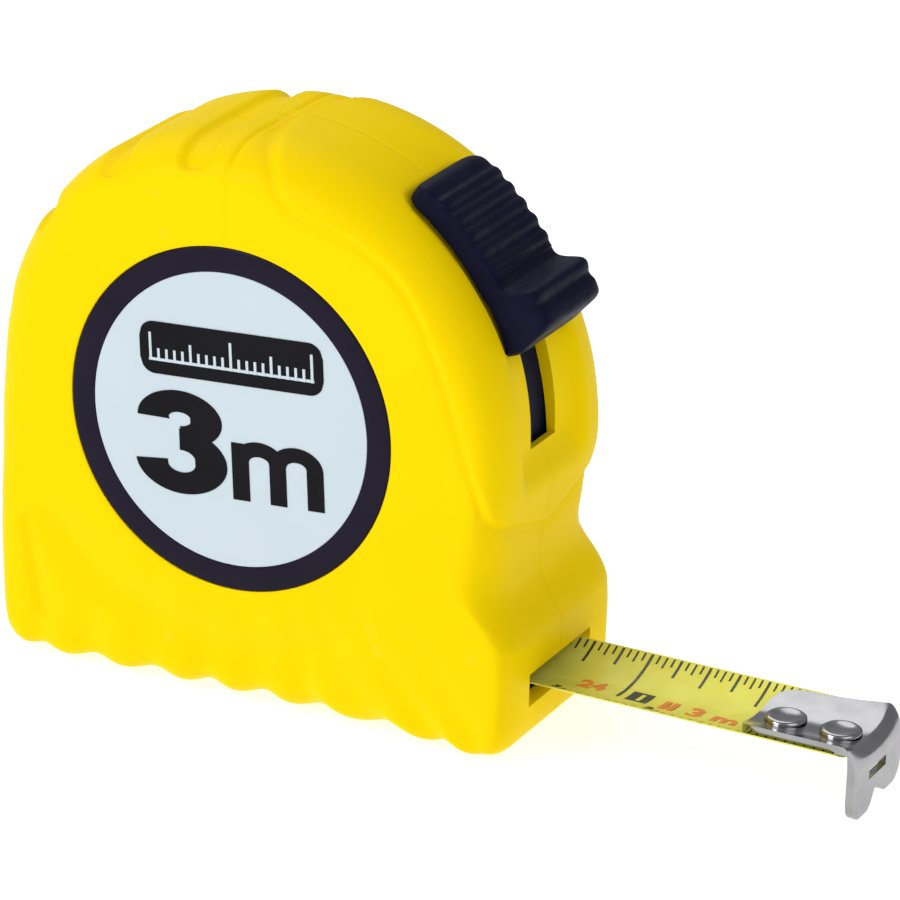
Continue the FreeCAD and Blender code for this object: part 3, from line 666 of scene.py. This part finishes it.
    def surface_y(self, x: np.ndarray, z: np.ndarray) -> np.ndarray:
        """Y of the plain outer skin over points of the side view.

        It turns the section round: y is flat + (side - flat)(1 - (1 - sag/b)^n)^(1/n).
        """
        depth, flat, power = self.section()
        turn = np.degrees(np.arctan2(z - REEL_Z, x))
        edge, b, f, n = (np.interp(turn, self.angle, v, period=360)
                         for v in (self.edge, depth, flat, power))
        t = np.clip((edge - np.hypot(x, z - REEL_Z)) / b, 0, 1)
        return f + (SIDE_Y - f) * (1 - (1 - t) ** n) ** (1 / n)

    def bore_wells(self, piece: bpy.types.Object) -> None:
        """Cuts the three screw wells through the clip side's wall."""
        skin = Skin()
        for x, z, seat in self.wells:
            skin.tube(turned(np.array([(self.well_radius, seat - 1.0), (self.well_radius, 15.0)]),
                             (x, z), 48))
        cutter = skin.make("well_cutter", 30)
        mod = piece.modifiers.new("wells", "BOOLEAN")
        mod.operation, mod.solver, mod.object = "DIFFERENCE", "EXACT", cutter
        graph = bpy.context.evaluated_depsgraph_get()
        bored = bpy.data.meshes.new_from_object(piece.evaluated_get(graph))
        piece.modifiers.clear()
        old, piece.data = piece.data, bored
        bpy.data.meshes.remove(old)
        bpy.data.objects.remove(cutter)
        bored.set_sharp_from_angle(angle=math.radians(50))

    def well_cups(self) -> bpy.types.Object:
        """Cups that line the wells down to the screws' seats, cut off along the skin; their darker
        yellow is painted shade.
        """
        skin = Skin()
        turn = 2 * math.pi * np.arange(48) / 48
        for x, z, seat in self.wells:
            rings = []
            for radius, rim in ((0.0, False), (self.well_radius - 0.01, False),
                                (self.well_radius - 0.01, True), (self.well_radius + 0.3, True),
                                (self.well_radius + 0.3, False)):
                px, pz = x + radius * np.cos(turn), z + radius * np.sin(turn)
                top = self.surface_y(px, pz) - 0.12
                y = np.maximum(top, seat + 0.2) if rim else np.full_like(px, seat)
                if radius > self.well_radius and not rim:
                    y = y - 0.4
                rings.append(np.stack([px, y, pz], -1))
            rings.append(rings[0] * (1, 0, 1) + (0, seat - 0.4, 0))
            index = skin.add(np.array(rings))
            skin.quads(index, wrap=True)
        return skin.make("screw_wells", 40)

    def build(self) -> None:
        """Builds both halves and the wells."""
        label = self.half(Side.LABEL)
        dress(label, YELLOW, "case", ("case_left",))
        clip = self.half(Side.CLIP)
        self.bore_wells(clip)
        dress(clip, YELLOW, "case", ("case_right",))
        # the cups take the darker yellow, painted shade in the wells
        dress(self.well_cups(), SHADED_WELL_YELLOW, "case")


# ---------------------------------------------------------------------------- label


@dataclass
class Label:
    """The round badge: a dark ring, a pale disc and plain generic print."""

    radius: float = 17.73
    disc_radius: float = 15.19
    back_y: float = -12.0
    face_y: float = -12.42
    tilt: float = 3.9
    print_height: float = 0.05
    print_step: float = 0.0015
    bar_corner: float = 1.6

    def ring(self) -> bpy.types.Object:
        """Turned ring with rounded rims, standing a little over the disc."""
        r, d, y = self.radius, self.disc_radius, self.face_y
        profile = np.array([
            (d, self.back_y), (d, y + 0.02), (d + 0.05, y - 0.05), (d + 0.2, y - 0.08),
            (r - 0.25, y - 0.08), (r - 0.08, y - 0.04), (r, y + 0.05), (r, self.back_y)])
        skin = Skin()
        skin.tube(turned(profile, (0, REEL_Z), 160), closed=True)
        return skin.make("label_ring", 40)

    def disc(self) -> bpy.types.Object:
        """Turned pale disc that fills the ring."""
        d, y = self.disc_radius - 0.01, self.face_y
        profile = np.array([(d, self.back_y), (d, y + 0.03), (d - 0.03, y), (9.0, y), (3.0, y)])
        skin = Skin()
        skin.tube(turned(profile, (0, REEL_Z), 160))
        return skin.make("label_disc", 40)

    def lay(self, u: np.ndarray, v: np.ndarray, lift: float) -> np.ndarray:
        """Points of the tilted print, u to the right and v up from the disc's middle."""
        c, s = math.cos(math.radians(self.tilt)), math.sin(math.radians(self.tilt))
        return np.stack(np.broadcast_arrays(
            u * c - v * s, self.face_y - lift, REEL_Z + u * s + v * c), -1)

    def slab(self, skin: Skin, u: np.ndarray, v: np.ndarray, low: float = 0.0) -> None:
        """Adds one strip of ink on the disc, a hair higher than the strip before it."""
        high = low + self.print_height + self.print_step * len(skin.points)
        skin.slab(self.lay(u, v, high), self.lay(u, v, low))

    def stroke(self, skin: Skin, path: np.ndarray, pen: tuple[float, float]) -> None:
        """Adds a pen stroke: the path moved to both sides by an upright oval pen."""
        tangent = np.gradient(path, axis=0)
        normal = np.stack([-tangent[:, 1], tangent[:, 0]], -1)
        normal /= np.linalg.norm(normal, axis=1, keepdims=True)
        sides = np.stack([path + normal * pen, path - normal * pen])
        self.slab(skin, sides[..., 0], sides[..., 1])

    def figure_three(self, skin: Skin) -> None:
        """Heavy figure 3 of two bowls, each an oval arc, in one pen stroke each."""
        for centre, size, start, end in (
                ((-5.6, -0.6), (2.95, 1.85), 182, -88), ((-5.6, -5.0), (3.35, 2.3), 92, -178)):
            turn = np.radians(np.linspace(start, end, 48))
            path = np.stack([centre[0] + size[0] * np.cos(turn),
                             centre[1] + size[1] * np.sin(turn)], -1)
            self.stroke(skin, path, (1.8, 1.12))

    def letter_m(self, skin: Skin) -> None:
        """Unit letter m: a stem and two arches, each arch a half oval and a leg."""
        base, top = -8.15, -2.75
        self.stroke(skin, np.array([(1.05, base), (1.05, top + 0.55)]), (0.95, 0.9))
        for left in (1.05, 5.2):
            turn = np.radians(np.linspace(170, 0, 24))
            bow = np.stack([left + 2.1 + 2.05 * np.cos(turn), top - 1.3 + 1.45 * np.sin(turn)], -1)
            leg = np.stack([np.full(8, bow[-1, 0]), np.linspace(top - 1.6, base, 8)], -1)
            self.stroke(skin, np.vstack([bow, leg]), (0.92, 0.75))

    def bar(self, ink: Skin, pale: Skin) -> None:
        """Dark bar with round corners and a plain pale rule on it."""
        left, right, low, high = -9.7, 10.7, 3.85, 9.25
        u = np.linspace(left, right, 80)
        corner = np.minimum(np.minimum(u - left, right - u), self.bar_corner)
        cut = self.bar_corner - np.sqrt(self.bar_corner**2 - (self.bar_corner - corner) ** 2)
        self.slab(ink, np.stack([u, u]), np.stack([high - cut, low + cut]))
        base = low + 1.35
        self.slab(pale, np.array([[left + 1, right - 1]] * 2),
                  np.array([[base + 0.3] * 2, [base] * 2]), 0.03)
        for index, u in enumerate(np.linspace(left + 1.2, right - 1.2, 21)):
            tall = 2.9 if index % 10 == 0 else 2.1 if index % 5 == 0 else 1.3
            self.slab(pale, np.array([[u - 0.14, u + 0.14]] * 2),
                      np.array([[base + tall] * 2, [base] * 2]), 0.03)

    def build(self) -> None:
        """Builds the badge and its print."""
        dress(self.ring(), RING_INK, "case", ("front_label",))
        dress(self.disc(), DISC_PAPER, "case")
        ink, pale = Skin(), Skin()
        self.figure_three(ink)
        self.letter_m(ink)
        self.bar(ink, pale)
        dress(ink.make("label_print", 30), PRINT_INK, "case")
        dress(pale.make("label_rule", 30), DISC_PAPER, "case")


# ----------------------------------------------------------------------------- lock


@dataclass
class ThumbLock:
    """The sliding brake button: ribbed saddle, thumb ledge and the leg in the slot."""

    half_width: float = 6.3
    inner: float = 28.18
    crown: float = 30.95
    ends: tuple[float, float] = (20.4, 57.6)
    ribs: tuple[float, ...] = (36.9, 40.5, 44.1, 47.7, 51.3)
    rib_half: float = 1.15
    rib_height: float = 0.34
    end_drop: float = 1.6
    end_round: float = 2.2
    round_from: float = 53.6
    ledge: tuple[tuple[float, float], ...] = (
        (20.3, 29.6), (20.7, 30.4), (21.6, 31.3), (22.7, 32.6), (23.5, 33.5), (24.3, 33.95),
        (25.4, 34.05), (26.5, 34.0), (27.3, 33.75), (28.0, 33.7), (28.7, 33.9), (29.6, 34.0),
        (30.4, 33.75), (31.0, 33.05), (31.7, 32.0), (32.5, 31.2), (33.4, 30.9), (34.4, 30.85))

    def saddle(self) -> bpy.types.Object:
        """Saddle whose every section is a superoval between the bed and the crown line.

        The crown line is level, rises over the ledge and waves over the ribs; the width
        draws in at the far end to round its corners.
        """
        low, high = self.ends
        angle = np.unique(np.concatenate([
            np.linspace(low, 35, 120), np.linspace(35, 54, 140), np.linspace(54, high, 50)]))
        ledge = np.array(self.ledge)
        top = np.where(angle < ledge[-1, 0], np.interp(angle, *through(ledge, 8).T), self.crown)
        ribs = sum(np.exp(-np.abs((angle - rib) / self.rib_half) ** 3) for rib in self.ribs)
        fade = ramp((angle - 34.5) / 2)
        top = top + (self.rib_height * ribs - 0.1) * fade
        fall = ((angle - 54.2) / 3.5).clip(0, 1)
        top -= self.end_drop * (1 - np.sqrt(np.clip(1 - fall**2, 0, 1)))
        near_end = ((angle - self.round_from) / (high - self.round_from)).clip(0, 1)
        half = self.half_width - self.end_round * (1 - np.sqrt(np.clip(1 - near_end**2.4, 0, 1)))
        half -= 0.5 * (1 - ramp((angle - low) / 0.8))
        phi = np.linspace(0, 2 * math.pi, 96, endpoint=False)
        power = 2 / 7.0
        wide = np.sign(np.cos(phi)) * np.abs(np.cos(phi)) ** power
        tall = np.sign(np.sin(phi)) * np.abs(np.sin(phi)) ** power
        middle, reach = (top + self.inner) / 2, (top - self.inner) / 2
        y = half[:, None] * wide
        radius = middle[:, None] + reach[:, None] * tall
        dent = 0.45 * np.exp(-((angle - 37) / 12) ** 4)[:, None] * (1 - (y / half[:, None]) ** 2)
        radius = radius - dent * (tall > 0.5) * 0.6
        skin = Skin()
        skin.tube(about_reel(radius, angle[:, None], y))
        return skin.make("lock_saddle", 60)

    def leg(self) -> bpy.types.Object:
        """Flat leg of the lock, which fills the slot under the saddle."""
        angle = np.linspace(19.5, 50.0, 60)
        loop = np.array([(-2.5, 25.85), (-2.5, 26.9), (-2.3, 27.1), (2.3, 27.1), (2.5, 26.9),
                         (2.5, 25.85)])
        under = np.where(loop[:, 1] > 26, loop[:, 1] + 1.3 * (angle[:, None] > 21.2), loop[:, 1])
        skin = Skin()
        skin.tube(about_reel(under, angle[:, None], loop[:, 0]))
        return skin.make("lock_leg", 40)

    def tongue(self) -> bpy.types.Object:
        """Thin tongue that runs down behind the slot below the saddle."""
        angle = np.linspace(-8.0, 21.0, 50)
        loop = np.array([(-3.4, 26.4), (-3.4, 26.75), (3.4, 26.75), (3.4, 26.4)])
        skin = Skin()
        skin.tube(about_reel(loop[:, 1], angle[:, None], loop[:, 0]))
        return skin.make("lock_tongue", 40)

    def build(self) -> None:
        """Builds the lock."""
        dress(self.saddle(), NAVY, "lock", ("thumb_lock",))
        dress(self.leg(), NAVY, "lock")
        dress(self.tongue(), NAVY, "lock")


# ---------------------------------------------------------------------------- blade


@dataclass
class Blade:
    """The dished blade's straight stretch, with its two printed scales."""

    start: float = 8.9
    end: float = 63.45
    half_width: float = 6.25
    curve: float = 13.77
    centre_z: float = 19.51
    thickness: float = 0.15
    inch: float = 25.4
    zero: float = 63.65
    corner: float = 1.6
    ink: float = 0.03
    ink_root: float = -0.02

    def bend(self, x: np.ndarray, y: np.ndarray, lift: np.ndarray | float) -> np.ndarray:
        """Points on the dished face: y is wrapped round the curve, lift is towards its axis."""
        turn = np.asarray(y) / self.curve
        radius = self.curve - lift
        return np.stack(np.broadcast_arrays(
            x, radius * np.sin(turn), self.centre_z - radius * np.cos(turn)), -1)

    def strip(self) -> bpy.types.Object:
        """Closed dished strip with rounded corners at its free end."""
        reach = self.curve * math.asin(self.half_width / self.curve)
        v = np.sin(np.linspace(-math.pi / 2, math.pi / 2, 33))
        corner = self.corner
        u = np.concatenate([np.linspace(0, 0.94, 30), np.linspace(0.94, 1, 14)[1:]])
        y = reach * v[None, :]
        past = np.maximum(np.abs(y) - (reach - corner), 0)
        end = self.end - (corner - np.sqrt(np.maximum(corner**2 - past**2, 0)))
        x = self.start + (end - self.start) * u[:, None]
        skin = Skin()
        skin.slab(self.bend(x, y, 0.0), self.bend(x, y, -self.thickness))
        return skin.make("blade_painted", 40)

    def mark(self, skin: Skin, x: float, width: float, y_from: float, y_to: float) -> None:
        """Adds one ink line across the blade, bent to its dish."""
        y = np.linspace(y_from, y_to, 5)
        sides = np.array([[x - width / 2], [x + width / 2]])
        skin.slab(self.bend(sides, y[None, :], self.ink),
                  self.bend(sides, y[None, :], self.ink_root))

    def scales(self) -> bpy.types.Object:
        """Inch fractions on the far edge and millimetres on the near edge."""
        skin = Skin()
        edge = self.half_width + 0.05
        step = self.inch / 32
        count = int((self.zero - 10.0) / step)
        for k in range(1, count):
            if k % 32 == 0:
                tall = 8.6
            else:
                tall = next(t for n, t in ((16, 3.9), (8, 3.1), (4, 2.5), (2, 1.5), (1, 1.1))
                            if k % n == 0)
            self.mark(skin, self.zero - k * step, 0.2 if k % 4 else 0.27, edge - tall, edge)
        for k in range(1, int(self.zero - 10.0)):
            tall = 1.9 if k % 10 == 0 else 1.35 if k % 5 == 0 else 0.85
            self.mark(skin, self.zero - k, 0.2, -edge, -edge + tall)
        self.mark(skin, 40.3, 2.3, -2.6, 0.0)
        return skin.make("blade_scales", 40)

    def words(self, name: str, text: str, x: float, y: float, size: float) -> bpy.types.Object:
        """Short print on the blade that reads from the near side, bent to its dish.

        Args:
            name: The piece's name.
            text: Figures or a unit.
            x: Left end of the print.
            y: Its lower edge, along the curve.
            size: Height of its capitals.

        Returns:
            The print's object.
        """
        curve = bpy.data.curves.new(name, "FONT")
        curve.body, curve.size, curve.extrude, curve.offset = text, size * 1.4, 0.03, 0.05 * size
        curve.resolution_u = 4
        holder = bpy.data.objects.new(name, curve)
        bpy.context.scene.collection.objects.link(holder)
        mesh = bpy.data.meshes.new_from_object(
            holder.evaluated_get(bpy.context.evaluated_depsgraph_get()))
        bpy.data.objects.remove(holder)
        co = np.zeros(len(mesh.vertices) * 3)
        mesh.vertices.foreach_get("co", co)
        co = co.reshape(-1, 3)
        bent = self.bend(x + co[:, 0], y + co[:, 1], 0.015 + co[:, 2]) * MM
        mesh.vertices.foreach_set("co", bent.ravel())
        return finish_mesh(name, mesh, 30)

    def build(self) -> None:
        """Builds the strip, its scales and its figures."""
        dress(self.strip(), LACQUER, "blade", ("blade_strip",))
        dress(self.scales(), TICK_INK, "blade")
        for name, text, x, y, size, ink in (
                ("blade_inch_figure", "1", 39.8, -2.2, 1.8, LACQUER),
                ("blade_class", "II", 42.8, -3.0, 2.5, ORANGE_INK),
                ("blade_length", "3 m", 45.7, -3.0, 2.5, ORANGE_INK),
                ("blade_red_figures", "24", 33.6, -1.9, 2.0, ORANGE_INK)):
            dress(self.words(name, text, x, y, size), ink, "blade")
        for k in range(1, 6):
            x = self.zero - 10 * k
            if x < 51:
                dress(self.words(f"blade_cm_{k}", str(k), x - 1.5, -4.6, 1.2), TICK_INK,
                      "blade")


# ----------------------------------------------------------------------------- hook


@dataclass
class Hook:
    """The end hook: a dished plate, a rolled bend and a leg with two prongs."""

    thickness: float = 0.8
    plate_from: float = 52.3
    face: float = 65.1
    plate_half: float = 5.0
    near_half: float = 5.85
    inner_bend: float = 0.15
    edge_round: float = 0.16
    round_share: float = 0.24
    round_depth: float = 0.42
    notch_depth: float = 1.9
    notch_half: float = 1.15
    leg_half: float = 5.9
    curve: float = 13.72
    centre_z: float = 19.51
    bend_radius: float = 1.5
    slot_z: float = 3.9
    slot_size: tuple[float, float] = (4.2, 1.1)
    rivets: tuple[float, float] = (55.3, 61.1)

    def sheet(self) -> bpy.types.Object:
        """Bent sheet: an outer face carried along plate, bend and leg, and one inside it.

        Across the plate the face follows the blade's dish, and over the bend it goes
        flat. The leg's lower end is a curve of two round prongs with a notch between.
        """
        columns = np.unique(np.concatenate([
            np.linspace(-1, 1, 65), np.array([-1, 1]) * self.slot_size[0] / 2 / self.leg_half]))
        plate = np.linspace(0, 1, 26)
        bow = np.linspace(0, math.pi / 2, 14)
        back = (1 - plate / self.round_share).clip(0, 1)
        rounded = 1 - self.round_depth * (1 - np.sqrt(np.clip(1 - back**2, 0, 1)))
        t, r = self.thickness, self.bend_radius
        outer, inner = [], []
        sag_top = self.curve - t
        small = self.inner_bend
        for share, width in zip(plate, rounded):
            half = self.plate_half + (self.leg_half - self.plate_half) * share**2
            y = columns * np.where(columns < 0, self.near_half, half) * width
            x = self.plate_from + share * (self.face - r - self.plate_from)
            under = self.plate_from + share * (self.face - t - small - self.plate_from)
            outer.append(np.stack([x + 0 * y, y, self.centre_z - np.sqrt(sag_top**2 - y**2)], -1))
            inner.append(np.stack(
                [under + 0 * y, y, self.centre_z - np.sqrt(self.curve**2 - y**2)], -1))
        top = self.centre_z - sag_top
        for phi in bow[1:]:
            share = math.sin(phi) ** 2
            y = columns * self.leg_half
            dish = (sag_top - np.sqrt(sag_top**2 - y**2)) * (1 - share)
            x = self.face - r + r * math.sin(phi)
            z = top - r * (1 - math.cos(phi)) + dish
            outer.append(np.stack([x + 0 * y, y, z], -1))
            inner.append(np.stack([self.face - t - small * (1 - math.sin(phi)) + 0 * y, y,
                                   top - t - small * (1 - math.cos(phi)) + dish], -1))
        start = top - r
        y = columns * self.leg_half
        tip = 0.05 + self.notch_depth * np.exp(-(y / self.notch_half) ** 2)
        past = np.maximum(np.abs(y) - 3.9, 0)
        tip = tip + 2.0 - np.sqrt(np.maximum(4.0 - past**2, 0)) + 0.55 * ramp((y + 1) / 2)
        low, high = self.slot_z - self.slot_size[1] / 2, self.slot_z + self.slot_size[1] / 2
        above = start - (start - high) * np.linspace(0, 1, 4)[1:]
        for z in np.concatenate([above, [self.slot_z, low]]):
            outer.append(np.stack([self.face + 0 * y, y, z + 0 * y], -1))
            inner.append(np.stack([self.face - t + 0 * y, y, z + 0 * y], -1))
        for share in np.linspace(0, 1, 14)[1:]:
            z = low + (tip - low) * share
            outer.append(np.stack([self.face + 0 * y, y, z], -1))
            inner.append(np.stack([self.face - t + 0 * y, y, z], -1))
        skin = Skin()
        a, b = skin.add(np.array(outer)), skin.add(np.array(inner))
        keep = np.ones((len(outer) - 1, len(columns) - 1), bool)
        first = len(plate) + len(bow) - 1 + len(above) - 1
        left, right = (int(np.argmin(np.abs(y - s * self.slot_size[0] / 2))) for s in (-1, 1))
        keep[first:first + 2, left:right] = False
        skin.quads(a, keep=keep)
        skin.quads(b, keep=keep)
        skin.walls(a, b)
        for row in (first, first + 2):
            skin.quads(np.stack([a[row, left:right + 1], b[row, left:right + 1]]))
        for column in (left, right):
            skin.quads(np.stack([a[first:first + 3, column], b[first:first + 3, column]]))
        piece = skin.make("hook_sheet", 40)
        bevel(piece, self.edge_round, 2)
        return piece

    def rivet_pair(self) -> bpy.types.Object:
        """Two domed rivets with a shallow dish in each head and a flat tail below."""
        skin = Skin()
        profile = np.array([
            (0.0, 6.96), (0.8, 6.97), (1.3, 7.02), (1.6, 7.1), (1.85, 7.07), (2.05, 6.92),
            (2.08, 6.72), (1.0, 6.7), (1.0, 5.6), (1.75, 5.58), (1.8, 5.45), (1.6, 5.30),
            (0.0, 5.29)])
        turn = 2 * math.pi * np.arange(56) / 56
        for x in self.rivets:
            rings = np.stack([x + profile[:, :1] * np.cos(turn), profile[:, :1] * np.sin(turn),
                              np.broadcast_to(profile[:, 1:], (len(profile), 56))], -1)
            skin.quads(skin.add(rings), wrap=True)
        return skin.make("rivet_pair", 50)

    def build(self) -> None:
        """Builds the hook and its rivets."""
        dress(self.sheet(), NICKEL, "hook", ("end_hook",))
        dress(self.rivet_pair(), NICKEL, "blade", ("hook_rivets",))


# --------------------------------------------------------------------- inner pieces


@dataclass
class Mechanism:
    """The frame's own pieces that stay as they are and only get a finish."""

    finishes: dict[str, Finish] = field(default_factory=lambda: {
        "case_screws": STEEL, "blade_guide": NYLON, "arbor_post": STEEL, "drum_washers": NYLON,
        "belt_clip": NICKEL, "clip_screw": STEEL, "blade_lead": LACQUER, "reel_drum": NYLON,
        "drum_cover": NYLON, "power_spring": BLUED, "blade_coil": LACQUER, "blade_anchor": STEEL,
        "lock_arm": NAVY, "brake_pad": RUBBER})

    def build(self) -> None:
        """Gives every kept node its finish."""
        for name, finish in self.finishes.items():
            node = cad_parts[name]
            node.data.materials.clear()
            node.data.materials.append(finish.build())
            LOG.info("%s keeps its own shape", name)


# --------------------------------------------------------------------------- studio


@dataclass
class Studio:
    """Pale floor, soft lights and the camera."""

    eye: tuple[float, float, float] = (0.23341, -0.43691, 0.22306)
    azimuth: float = 26.246
    elevation: float = 21.939
    roll: float = 2.009
    lens: float = 213.5

    def camera(self) -> None:
        """Long lens from the label side and in front, looking down, a little rolled."""
        data = bpy.data.cameras.new("view")
        data.lens, data.sensor_width = self.lens, 36.0
        data.clip_start, data.clip_end = 0.01, 20.0
        holder = bpy.data.objects.new("view", data)
        a, e, r = (math.radians(v) for v in (self.azimuth, self.elevation, self.roll))
        ahead = Vector((-math.sin(a) * math.cos(e), math.cos(a) * math.cos(e), -math.sin(e)))
        right = Vector((math.cos(a), math.sin(a), 0))
        up = right.cross(ahead)
        right, up = right * math.cos(r) + up * math.sin(r), up * math.cos(r) - right * math.sin(r)
        turn = Matrix((right, up, -ahead)).transposed()
        holder.matrix_world = Matrix.Translation(self.eye) @ turn.to_4x4()
        bpy.context.scene.collection.objects.link(holder)
        bpy.context.scene.camera = holder

    def lamp(self, name: str, at: tuple[float, float, float], size: float, power: float) -> None:
        """Square soft light aimed at the case's middle."""
        data = bpy.data.lights.new(name, "AREA")
        data.size, data.energy = size, power
        lamp = bpy.data.objects.new(name, data)
        lamp.location = at
        lamp.rotation_mode = "QUATERNION"
        lamp.rotation_quaternion = (Vector((0, 0, 0.03)) - Vector(at)).to_track_quat("-Z", "Y")
        bpy.context.scene.collection.objects.link(lamp)

    def floor(self) -> None:
        """Large pale floor just under the base."""
        across = np.linspace(-3000, 3000, 9)
        x, y = np.meshgrid(across, across)
        skin = Skin()
        skin.quads(skin.add(np.stack([x, y, np.full_like(x, -0.05)], -1)))
        ground = skin.make("studio_floor")
        paper = Finish("studio_paper", (0.50, 0.50, 0.50), (0.52, 0.52, 0.52), (0.9, 1.0),
                       relief=0.0, mottle=400.0, specular=0.0, glow=0.78)
        ground.data.materials.append(paper.build())

    def build(self) -> None:
        """Builds the studio."""
        self.camera()
        self.floor()
        self.lamp("key", (-0.34, -0.52, 0.44), 0.34, 2.9)
        self.lamp("fill", (0.50, -0.20, 0.50), 0.5, 1.2)
        self.lamp("card", (-0.38, 0.42, 0.74), 0.7, 2.4)
        world = bpy.data.worlds.new("studio_air")
        world.use_nodes = True
        air = world.node_tree.nodes["Background"]
        air.inputs["Color"].default_value = (1, 1, 1, 1)
        air.inputs["Strength"].default_value = 0.32
        bpy.context.scene.world = world
        bpy.context.scene.view_settings.view_transform = "Standard"
        LOG.info("studio is ready")


def main() -> None:
    """Builds the tape measure piece by piece."""
    logging.basicConfig(level=logging.INFO, format="%(message)s")
    for part in (Studio(), Case(), Label(), ThumbLock(), Blade(), Hook(), Mechanism()):
        part.build()


if __name__ == "__main__":
    main()
